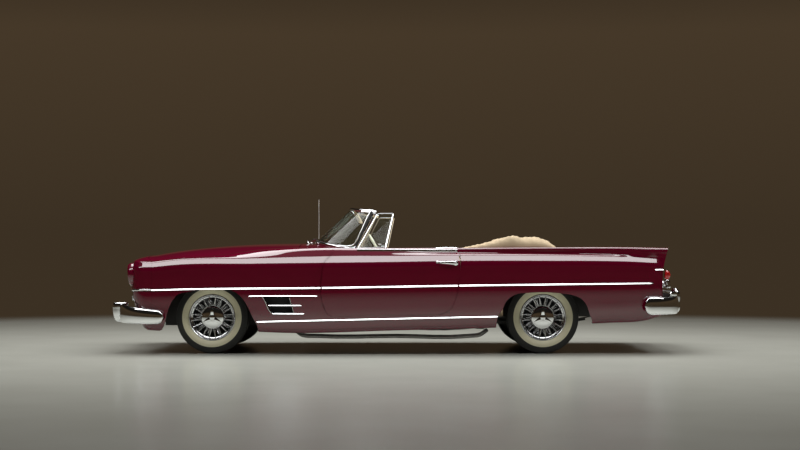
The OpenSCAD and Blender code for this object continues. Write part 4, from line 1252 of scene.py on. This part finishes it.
def dashboard_mesh():
    """Painted dash with a padded leather top, round gauges in bright bezels, knobs, a radio and a glovebox.
    """
    ys = np.linspace(-DASH_HALF, DASH_HALF, 61)
    outline = [(500, 894), (470, 906), (440, 912), (412, 906), (400, 890), (404, 862), (396, 836),
               (388, 812), (398, 796), (430, 786), (480, 784), (500, 800)]
    loop = spline(outline + outline[:1], 4)[:-1]
    rings = []
    for y in ys:
        bow = 26 * (abs(y) / DASH_HALF) ** 3
        rings.append(np.column_stack([loop[:, 0] - 10 * (1 - (y / DASH_HALF) ** 2) + bow * 0.4,
                                      np.full(len(loop), y), loop[:, 1] - bow * 0.4]))
    parts = [tube_grid("dash", rings, "paint", sharp=40)]
    pad = [(440, y, 909 - 10 * (abs(y) / DASH_HALF) ** 3) for y in ys]
    parts.append(sweep("pad", pad, oval(12, 46, 16, 0.8), "leather", (0, 0, 1), sharp=60))
    face = (-1, 0, 0)
    for y, r in GAUGES:
        centre = (384, y, 848)
        bezel = [(r - 4, 0), (r - 1, 8), (r + 5, 8), (r + 8, 0), (r + 8, -10), (r - 4, -10)]
        a = math.radians(40 + y)
        tip = (376, y + (r - 12) * math.cos(a), 848 + (r - 12) * math.sin(a))
        parts += [lathe("bezel", bezel, centre, face, "chrome", 48, CREASE),
                  lathe("dial", [(0, 3), (r - 3, 2), (r - 3, -4), (0, -4)], centre, face, "vent_black", 40),
                  lathe("boss", [(0, 9), (r * 0.14, 8), (r * 0.16, 3), (0, 3)], centre, face, "chrome", 20),
                  sweep("needle", [(377, y, 848), tip], oval(1.2, 1.6, 6), "red", face)]
    for y in (180, 130, 80, -80, -130, -180):
        parts.append(lathe("knob", [(0, 26), (8, 25), (11, 20), (10, 12), (5, 8), (5, 0), (0, 0)],
                           (388, y, 836), face, "ivory", 24, CREASE))
    parts.append(box("radio", (378, -66, 806), (396, 66, 818), "chrome", 3))
    parts.append(box("glovebox_edge", (384, -640, 868), (392, -300, 872), "chrome", 1.5))
    parts.append(lathe("glovebox_lock", [(0, 18), (8, 17), (11, 12), (11, 0), (0, 0)], (386, -470, 846),
                       face, "chrome", 24, CREASE))
    return join("dash_board", parts)


def mirror_mesh():
    parts = [box("mirror", (372, -115, 1214), (386, 115, 1266), "chrome", 6),
             box("mirror_glass", (369, -108, 1219), (373, 108, 1261), "lamp", 1),
             sweep("stem", [(384, 0, 1250), (412, 0, 1270), (426, 0, 1284)], oval(5, 5, 10),
                   "chrome", (0, 1, 0))]
    return join("rear_view_mirror", parts)


def visor(name):
    g = np.array([[(402 - 46 * s - 16 * t**2, 40 + 420 * t, 1272 - 96 * s) for s in
                   np.linspace(0, 1, 8)] for t in np.linspace(0, 1, 14)])
    return shell(name, g, 14, "leather", 60)


def door_trim(name):
    """Leather panel on the door's inner side, with pleats, an arm rest, pull, crank and handle."""
    parts = []
    xs = np.linspace(-512, 560, 90)
    zs = np.linspace(372, 892, 40)
    g = np.empty((len(xs), len(zs), 3))
    for i, x in enumerate(xs):
        pleat = abs(math.sin((x + 512) / 1072 * 22 * math.pi)) ** 0.6
        for j, z in enumerate(zs):
            low = max(372, 372 + (x - 500) * 1.2, 372 + (-430 - x) * 1.5)
            zz = low + (892 - low) * j / (len(zs) - 1)
            inside = 560 < zz < 800
            g[i, j] = (x, 843 - (5 * pleat if inside else 3) - 2, zz)
    flat = g.copy()
    flat[:, :, 1] = DOOR_INNER_Y
    parts.append(between(name, flat, g, "leather", 60))
    for z in (556, 804):
        parts.append(sweep("bead", [(x, 837, z) for x in np.linspace(-500, 552, 8)], oval(3, 4, 8),
                           "chrome", (0, -1, 0)))
    rest = [(-330, 826, 652), (-200, 812, 660), (0, 808, 664), (180, 816, 662), (260, 830, 656)]
    parts.append(sweep("arm_rest", spline(rest, 6), oval(26, 30, 16, 0.8), "leather", (0, -1, 0),
                       sharp=60))
    for x, z in ((330, 620), (392, 735)):
        parts.append(lathe("boss", [(0, 22), (14, 20), (17, 10), (17, 0), (0, 0)], (x, 838, z), (0, -1, 0),
                           "chrome", 24, CREASE))
        parts.append(sweep("crank", [(x, 820, z), (x + 50, 816, z - 40), (x + 84, 812, z - 66)],
                           oval(4, 6, 10), "chrome", (0, -1, 0)))
        parts.append(lathe("crank_knob", [(0, 26), (9, 24), (10, 10), (6, 0), (0, 0)],
                           (x + 84, 816, z - 66), (0, -1, 0), "ivory", 20, CREASE))
    return join(name, parts)


def door_brightwork(name):
    """Mouldings, belt strip and pull handle on the left door."""
    parts = [strip("moulding", moulding_points(-534, 648), *BODY_MOULDING, ends=(0, 0))]
    xs = np.linspace(-534, 345, 30)
    belt = side_path([(x, 908) for x in xs], -1.0)
    parts.append(sweep("belt", belt, bead(4.5, 1, 9), "chrome", (0, 1, 0),
                       np.column_stack([np.ones(30), np.linspace(12, 17, 30)]), sharp=CREASE))
    parts.append(strip("belt_tip", [(-530, 934), (-420, 935), (-345, 932)], 3.5, 4))
    y = side_y(-440, 803)
    grip = [(-360, y - 6, 808), (-376, y + 8, 807), (-404, y + 24, 805), (-455, y + 27, 803),
            (-500, y + 20, 801), (-530, y + 4, 800)]
    steps = spline([(0.8, 0.4), (0.9, 0.6), (1, 0.8), (1, 1.05), (1, 1.2), (1, 0.8)], 5)
    parts.append(sweep("handle", spline(grip, 5), oval(6.5, 13, 14, 0.8), "chrome", (0, 1, 0),
                       steps, sharp=60))
    for x, z, r in ((-356, 808, 12), (-516, 800, 22)):
        parts.append(lathe("escutcheon", [(0, 9), (r * 0.6, 8), (r, 3), (r, -4), (0, -4)],
                           (x, side_y(x, z), z), (0, 1, 0), "chrome", 32, CREASE))
    return join(name, parts)


# ---------- folded top's cover ----------

COVER_SIDE = [(-1436, 926), (-1404, 950), (-1340, 996), (-1262, 1025), (-1196, 1030), (-1112, 1023),
              (-1036, 1040), (-1000, 1036), (-960, 1022), (-900, 1000), (-820, 980), (-720, 958),
              (-620, 940), (-545, 930)]
DECK_Z = 924


def cover_mesh():
    """The canvas cover over the folded top: a hump across the car with two arms along the quarters."""
    tops = np.array(COVER_SIDE, float)
    parts = []
    xs = np.linspace(-1436, -990, 90)
    vs = np.linspace(-1, 1, 181)
    g = np.empty((len(xs), len(vs), 3))
    for i, x in enumerate(xs):
        ridge = float(np.interp(x, tops[:, 0], tops[:, 1]))
        base = DECK_Z + 10 * (x + 1436) / 446
        for j, v in enumerate(vs[::-1]):
            y = 812 * v
            edge = 1 - max(0, (abs(v) - 0.86) / 0.14) ** 2.2
            sag = 0.88 + 0.12 * math.cos(3 * math.pi * v) * (1 - 0.3 * abs(v))
            fold = 4.5 * math.sin(x * 0.045 + 3 * v + 2.2 * math.sin(v * 9)) * (1 - abs(v) ** 6)
            fold += 3.0 * math.sin(x * 0.02 - 26 * v) * abs(v)
            rise = (ridge - base) * edge * (sag if abs(v) < 0.9 else 0.9)
            g[i, j] = (x, y, base + max(0, rise + fold * min(1, rise / 30)))
    last = g[-1]
    flap = [np.column_stack([last[:, 0] + dx, last[:, 1], 931 + (last[:, 2] - 931) * share])
            for dx, share in ((7, 0.93), (12, 0.78), (14, 0.5), (13, 0.25), (12, 0))]
    parts.append(shell("hump", np.concatenate([g, flap]), 3, "canvas", 180))
    for side in (1, -1):
        xs = np.linspace(-1434, -548, 110)
        turn = np.linspace(0, math.pi, 25)
        arm = np.empty((len(xs), len(turn), 3))
        for i, x in enumerate(xs):
            rest = float(np.interp(x, tops[:, 0], tops[:, 1])) - DECK_Z
            share, blend = max(0, x + 1010) / 462, float(np.clip((-1010 - x) / 180, 0, 1))
            inner, outer = 690 + 70 * share - 150 * blend, 816 + 14 * share
            for j, a in enumerate(turn if side < 0 else turn[::-1]):
                across = (inner + outer) / 2 - (outer - inner) / 2 * math.cos(a)
                ripple = 2.5 * math.sin(x * 0.07 + 4 * a) + 2 * math.sin(x * 0.16 + 2 * a)
                rise = (rest * math.sin(a) ** 0.7 + ripple * math.sin(a)) * min(1, rest / 20)
                arm[i, j] = (x, side * across, DECK_Z + rise)
        parts.append(shell("arm", arm[:, ::-1], 3, "canvas", 180))
    return join("top_cover", parts)


# ---------- stage ----------

CAMERA = (-0.031, 14.0, 0.83)
LENS = 67.17
SHIFT_Y = 0.0433
FLOOR_HALF, FLOOR_Z = 60, -0.0005


def area_lamp(name, at, target, size, power):
    light = bpy.data.lights.new(name, "AREA")
    light.shape = "RECTANGLE"
    light.size, light.size_y = size
    light.energy = power
    obj = bpy.data.objects.new(name, light)
    bpy.context.scene.collection.objects.link(obj)
    obj.location = at
    obj.rotation_mode = "QUATERNION"
    obj.rotation_quaternion = (Vector(target) - Vector(at)).to_track_quat("-Z", "Y")
    return obj


# height from 0, straight down, to 1, straight up, and the surroundings' colour there
SKY = ((0.02, (0.044, 0.030, 0.017)), (0.15, (0.060, 0.040, 0.022)), (0.24, (0.010, 0.008, 0.006)),
       (0.65, (0.012, 0.011, 0.010)), (0.95, (0.25, 0.25, 0.24)))


def studio_world():
    """Soft surroundings: a low warm band, dark above it and pale overhead."""
    world = bpy.data.worlds.new("studio")
    bpy.context.scene.world = world
    world.use_nodes = True
    tree = world.node_tree
    spread, split, ramp = (tree.nodes.new("ShaderNode" + kind)
                           for kind in ("TexCoord", "SeparateXYZ", "ValToRGB"))
    stops = ramp.color_ramp.elements
    for at, _ in SKY[1:-1]:
        stops.new(at)
    for stop, (at, colour) in zip(stops, SKY):
        stop.position = at
        stop.color = (*colour, 1)
    tree.links.new(spread.outputs["Generated"], split.inputs[0])
    tree.links.new(split.outputs["Z"], ramp.inputs["Fac"])
    tree.links.new(ramp.outputs["Color"], tree.nodes["Background"].inputs["Color"])


def colour_property(label, words, default):
    return bpy.props.FloatVectorProperty(name=label, description=words, subtype="COLOR", size=3, min=0,
                                         max=1, default=default)


class CarColours(bpy.types.PropertyGroup):
    """Colours of the car's finishes."""
    paint: colour_property("Paint", "Colour of the body's lacquer", (0.105, 0.0003, 0.013))
    leather: colour_property("Leather", "Colour of the seats and trims", (0.62, 0.50, 0.33))
    canvas: colour_property("Canvas", "Colour of the folded top's cover", (0.52, 0.41, 0.27))
    whitewall: colour_property("Whitewall", "Colour of the tyres' side bands", (0.66, 0.62, 0.44))


class CarStudio(bpy.types.PropertyGroup):
    """Strength of the studio's lamps."""
    key: bpy.props.FloatProperty(name="Key light", description="Power of the overhead strip", default=230,
                                 min=0, unit="POWER")
    fill: bpy.props.FloatProperty(name="Fill light", description="Power of the soft light above",
                                  default=700, min=0, unit="POWER")


# ---------- operators ----------

class Builder(bpy.types.Operator):
    """Shared by the operators: each runs build() and finishes."""
    bl_options = {"REGISTER", "UNDO"}

    def execute(self, context):
        self.build(context)
        return {"FINISHED"}


class CAR_OT_fenders(Builder):
    """Front fenders, quarter panels with their fins, and sills."""
    bl_idname = "car.fenders"
    bl_label = "Fenders, Quarters and Sills"

    def build(self, context):
        for made, piece, node in ((front_fender, "fender", "front_fender"),
                                  (quarter_panel, "quarter", "quarter_panel")):
            left = made(piece + "_left")
            right = mirrored(left, piece + "_right")
            place(left, PAINT_SLOT, node + "_left")
            place(right, PAINT_SLOT, node + "_right")
        place(on_both(sill_panel, "sill_panels"), PAINT_SLOT, "sills")


class CAR_OT_shell(Builder):
    """Nose, cowl, tonneau and tail panels, and the firewall."""
    bl_idname = "car.shell"
    bl_label = "Nose, Cowl and Tail"

    def build(self, context):
        place(nose_shell(), PAINT_SLOT, "nose_panel")
        parts = [cowl_shell(), box("firewall", (826, -640, 300), (836, 640, 925), "paint")]
        for side in (1, -1):
            ys = sorted((side * 740, side * 750))
            parts.append(box("wall", (508, ys[0], 330), (824, ys[1], 895), "carpet"))
        place(join("cowl_panel_shell", parts), PAINT_SLOT, "cowl_panel")
        place(on_both(door_seal, "door_seals"), "tyre")
        place(deck_panel("tonneau_deck", -1464, -1040, 2), PAINT_SLOT, "tonneau_panel")
        place(tail_shell(), PAINT_SLOT, "tail_panel")


class CAR_OT_lids(Builder):
    """Hood and deck lid."""
    bl_idname = "car.lids"
    bl_label = "Hood and Deck Lid"

    def build(self, context):
        place(hood_lid(), PAINT_SLOT, "hood", body="hood_lid")
        place(deck_panel("boot_lid", -2322, -1470, SHUT_GAP), PAINT_SLOT, "deck_lid", body="boot_lid")


class CAR_OT_doors(Builder):
    """Door shells with their leather trims, belt strips and handles."""
    bl_idname = "car.doors"
    bl_label = "Doors"

    def build(self, context):
        place_on_doors((door_shell("door_shell"), "door_shell", PAINT_SLOT, "door_"),
                       (door_trim("door_trim"), "door_trim", "leather"),
                       (door_brightwork("door_brightwork"), "door_brightwork", "chrome"))


class CAR_OT_side_trim(Builder):
    """Mouldings on the fenders, quarters and sills, and the fender vents."""
    bl_idname = "car.side_trim"
    bl_label = "Side Mouldings and Vents"

    def build(self, context):
        def mouldings(name):
            return join(name, [strip("moulding", moulding_points(664, 2146), *BODY_MOULDING, ends=(0, 0)),
                               strip("moulding", moulding_points(-2252, -548), *BODY_MOULDING, ends=(1, 0)),
                               strip("rocker", rocker_points(600, 1222), *ROCKER_MOULDING, ends=(0, 1)),
                               strip("rocker", rocker_points(-468, 596), *ROCKER_MOULDING, ends=(0, 0)),
                               strip("rocker", rocker_points(-884, -472), *ROCKER_MOULDING, ends=(1, 0))])

        def vents(name):
            y = side_y(1000, 430)
            parts = [strip("bar", points, half, 7) for points, half in VENT_BARS]
            parts += [box("pocket", (x0, y + y0, z0), (x1, y + y1, z1), "vent_black")
                      for x0, y0, z0, x1, y1, z1 in VENT_POCKET]
            return join(name, parts)

        place(on_both(mouldings, "side_mouldings"), "chrome")
        place(on_both(vents, "fender_vents"), "chrome")
        self.nose_moulding()

    def nose_moulding(self):
        rings = [nose_ring(a) for a in np.linspace(90, 50, 16)]
        row = sum(ROW_STEPS[:4])
        path = np.array([ring[row] for ring in rings])
        out = path * (1, 1, 0) - (NOSE_X - 400, 0, 0)
        left = sweep("nose_moulding", path, bead(8, 9.5), "chrome", out, sharp=CREASE)
        place(join("nose_mouldings", [left, mirrored(left, "other")]), "chrome")


class CAR_OT_bumpers(Builder):
    """Split front bumper and the rear one, with their guards, and the blank plate."""
    bl_idname = "car.bumpers"
    bl_label = "Bumpers"

    def build(self, context):
        place(on_both(front_bumper_half, "front_bumper"), "chrome", "bumper_front")
        plate = [box("plate", (-2524, -152, 380), (-2520, 152, 508), "ivory", 1.5),
                 box("bracket", (-2520, -250, 378), (-2516, 250, 518), "black_steel", 2)]
        for y in (-88.9, 88.9):
            plate.append(lathe("bolt", [(0, 4), (5, 3), (6, 0), (0, 0)], (-2524, y, 493), (-1, 0, 0),
                               "chrome", 16, CREASE))
        rear = on_both(rear_bumper_half, "rear_bumper")
        place(join("rear_bumper", [rear] + plate), "chrome", "bumper_rear")


class CAR_OT_front(Builder):
    """Grille, headlamps with their hoods, and parking lamps."""
    bl_idname = "car.front"
    bl_label = "Grille and Headlamps"

    def build(self, context):
        place(grille_mesh(), "chrome", "grille")
        place(on_both(headlamp, "headlamp_units"), "chrome", "headlamps")
        place(on_both(eyelid, "headlamp_hoods"), PAINT_SLOT)
        place(on_both(parking_lamp, "parking_lamps"), "chrome")


class CAR_OT_rear(Builder):
    """Tail lamps and deck handle."""
    bl_idname = "car.rear"
    bl_label = "Tail Lamps"

    def build(self, context):
        place(on_both(tail_lamp, "tail_lamp_units"), "lamp_red", "tail_lamps")
        handle = [box("handle", (-2366, -70, 752), (-2356, 70, 764), "chrome", 4),
                  lathe("lock", [(0, 16), (10, 15), (14, 8), (14, 0), (0, 0)], (-2352, 0, 735), (-1, 0, 0),
                        "chrome", 24, CREASE)]
        place(join("boot_handle", handle), "chrome")


class CAR_OT_wheels(Builder):
    """Four wire wheels with whitewall tyres."""
    bl_idname = "car.wheels"
    bl_label = "Wheels and Tyres"

    def build(self, context):
        for end, x in (("front", FRONT_AXLE), ("rear", REAR_AXLE)):
            for side, sign in SIDES:
                where = (x, sign * HALF_TRACK, AXLE_Z)
                body = f"{end}_{side}_wheel"
                tyre = tyre_mesh(f"whitewall_tyre_{end}_{side}", where, sign)
                wheel = wheel_mesh(f"wire_wheel_{end}_{side}", where, sign)
                place(tyre, "tyre", f"tyre_{end}_{side}", body=body)
                place(wheel, "wheel_chrome", f"wheel_{end}_{side}", body=body)


class CAR_OT_glass(Builder):
    """Windshield with its surround, visors and mirror, and the doors' vent windows."""
    bl_idname = "car.glass"
    bl_label = "Windshield and Vent Windows"

    def build(self, context):
        rows = windshield_rows(0.01, 0.99)
        place(shell("windshield_pane", rows.transpose(1, 0, 2)[::-1], 5, "glass"), "glass",
              "windshield_glass")
        place(windshield_frame(), "chrome", "windshield_frame")
        place(mirror_mesh(), "chrome")
        place(on_both(visor, "sun_visors"), "leather")
        place_on_doors((vent_frame("vent_frame_left"), "vent_frame", "chrome", "vent_window_"),
                       (pane("vent_pane_left", VENT_CORNERS), "vent_pane", "glass"))


class CAR_OT_cabin(Builder):
    """Dashboard, steering wheel, seats, side trims and carpets."""
    bl_idname = "car.cabin"
    bl_label = "Cabin"

    def build(self, context):
        place(dashboard_mesh(), PAINT_SLOT, "dashboard")
        place(steering_wheel_mesh(), "ivory", "steering_wheel", body="steering")
        self.seats()
        self.carpets()

    def seats(self):
        for side, low, high in (("left", 16, 756), ("right", -756, -16)):
            base = cushion("front_cushion_" + side, (-436, low, 332), (66, high, 480), 18, 9)
            back = upright_cushion("front_back_" + side, (-520, low, 420), (-410, high, 850), 14, 9)
            self.seat(base, back, "front_seat")
        base = cushion("rear_cushion", (-952, -566, 408), (-644, 566, 512), 16, 12)
        back = upright_cushion("rear_back", (-1026, -576, 548), (-936, 576, 884), 0, 12, 10)
        self.seat(base, back, "rear_seat")

    def seat(self, base, back, node):
        place(base, "leather", node)
        place(back, "leather")

    def carpets(self):
        def trim(name):
            outline = [(-930, 330), (-620, 330), (-620, 880), (-1036, 880), (-1036, 745), (-930, 745)]
            parts = [prism(outline, 800, 808)]
            parts[0].data.materials.append(finish("leather"))
            for z in (556, 804):
                parts.append(box("bead", (-924, 797, z), (-624, 801, z + 5), "chrome", 1))
            parts.append(box("corner", (-942, 579, 331), (-936, 803, 878), "leather", 2))
            return join(name, parts)

        place(on_both(trim, "rear_side_trims"), "leather", "quarter_trims")
        parts = [box("mat", (-948, side * 430 - 270, 323), (470, side * 430 + 270, 331), "carpet", 3)
                 for side in (1, -1)]
        parts.append(box("tunnel_mat", (-948, -158, 330), (812, 158, 408), "carpet", 14))
        place(join("carpets", parts), "leather")

        def liner(name):
            return join(name, [box("fore", (-1196, 597, 322), (-944, 601, 560), "black_steel", 1),
                               box("aft", (-1990, 597, 322), (-1390, 601, 560), "black_steel", 1),
                               box("shelf", (-1990, 599, 545), (-1622, side_y(-1990, 548) - 12, 549),
                                   "black_steel", 1)])

        place(on_both(liner, "wheelhouse_liners"), "tyre")


class CAR_OT_cover(Builder):
    """Canvas cover over the folded top."""
    bl_idname = "car.cover"
    bl_label = "Folded Top's Cover"

    def build(self, context):
        cover = place(cover_mesh(), "canvas", "top_boot")


KEPT = {"chassis_frame": "black_steel", "floor_pan": "black_steel", "wheelhouses": "black_steel",
        "radiator": "black_steel", "steering_column": "paint", "engine": "iron", "driveline": "iron",
        "front_suspension": "black_steel", "rear_axle": "black_steel", "exhaust": "pipe",
        "fuel_tank": "iron", "antenna": "mast", "knuckle_left": "iron", "knuckle_right": "iron"}


class CAR_OT_mechanics(Builder):
    """Finishes of the frame's own pieces, the exhaust pipes and the antenna."""
    bl_idname = "car.mechanics"
    bl_label = "Chassis and Mechanics"

    def build(self, context):
        for node, name in KEPT.items():
            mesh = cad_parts[node].data
            mesh.materials.clear()
            mesh.materials.append(finish(name))
            soften(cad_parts[node])
        parts = []
        for side in (1, -1):
            arm = [(812, side * 300, 984), (796, side * 260, 1004), (762, side * 120, 1020)]
            blade = [(768, side * 300, 1016), (762, side * 130, 1020), (752, side * 10, 1022)]
            parts += [sweep("wiper_arm", arm, oval(3, 5, 8), "chrome", (0, 0, 1)),
                      lathe("wiper_pivot", [(0, 22), (10, 20), (15, 8), (15, 0), (0, 0)],
                            (814, side * 300, 974), (0.3, 0, 1), "chrome", 24, CREASE),
                      sweep("wiper_blade", blade, oval(3, 6, 8), "rubber", (0, 0, 1))]
        place(join("wipers", parts), "chrome")


class CAR_OT_stage(Builder):
    """Pale floor, soft lamps, world and camera."""
    bl_idname = "car.stage"
    bl_label = "Studio"

    def build(self, context):
        mesh = bpy.data.meshes.new("studio_floor")
        corners = [(x * FLOOR_HALF, y * FLOOR_HALF, FLOOR_Z) for x, y in ((-1, -1), (1, -1), (1, 1), (-1, 1))]
        mesh.from_pydata(corners, [], [(0, 1, 2, 3)])
        ground = bpy.data.objects.new("studio_floor", mesh)
        context.scene.collection.objects.link(ground)
        mesh.materials.append(finish("floor"))
        studio = context.scene.car_studio
        area_lamp("overhead_strip", (0, 3.0, 4.6), (0, 0.95, 0.83), (14, 0.9), studio.key)
        area_lamp("overhead_soft", (0, -1.0, 6.0), (0, -0.2, 0.5), (9, 4), studio.fill)
        studio_world()
        context.scene.view_settings.view_transform = "Standard"
        data = bpy.data.cameras.new("camera")
        data.lens = LENS
        data.sensor_width = 36
        data.shift_y = SHIFT_Y
        camera = bpy.data.objects.new("camera", data)
        context.scene.collection.objects.link(camera)
        camera.location = CAMERA
        camera.rotation_euler = (math.radians(90), 0, math.radians(180))
        context.scene.camera = camera


OPERATORS = (CAR_OT_stage, CAR_OT_fenders, CAR_OT_shell, CAR_OT_lids, CAR_OT_doors, CAR_OT_side_trim,
             CAR_OT_bumpers, CAR_OT_front, CAR_OT_rear, CAR_OT_wheels, CAR_OT_glass, CAR_OT_cabin,
             CAR_OT_cover, CAR_OT_mechanics)


class CAR_PT_panel(bpy.types.Panel):
    """Lists the car's colours, the studio's lamps and the pieces that can be built."""
    bl_idname = "CAR_PT_panel"
    bl_label = "Open Car"
    bl_space_type = "VIEW_3D"
    bl_region_type = "UI"
    bl_category = "Open Car"

    def draw(self, context):
        layout = self.layout
        for group, names in ((context.scene.car_colours, ("paint", "leather", "canvas", "whitewall")),
                             (context.scene.car_studio, ("key", "fill"))):
            for name in names:
                layout.prop(group, name)
        for operator in OPERATORS:
            layout.operator(operator.bl_idname)


CLASSES = (CarColours, CarStudio) + OPERATORS + (CAR_PT_panel,)


def register():
    for cls in CLASSES:
        bpy.utils.register_class(cls)
    bpy.types.Scene.car_colours = bpy.props.PointerProperty(type=CarColours)
    bpy.types.Scene.car_studio = bpy.props.PointerProperty(type=CarStudio)


def unregister():
    del bpy.types.Scene.car_studio
    del bpy.types.Scene.car_colours
    for cls in reversed(CLASSES):
        bpy.utils.unregister_class(cls)


def main():
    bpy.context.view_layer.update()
    register()
    for operator in OPERATORS:
        section_name, name = operator.bl_idname.split(".")
        getattr(getattr(bpy.ops, section_name), name)()
    bpy.context.view_layer.update()


if __name__ == "__main__":
    main()
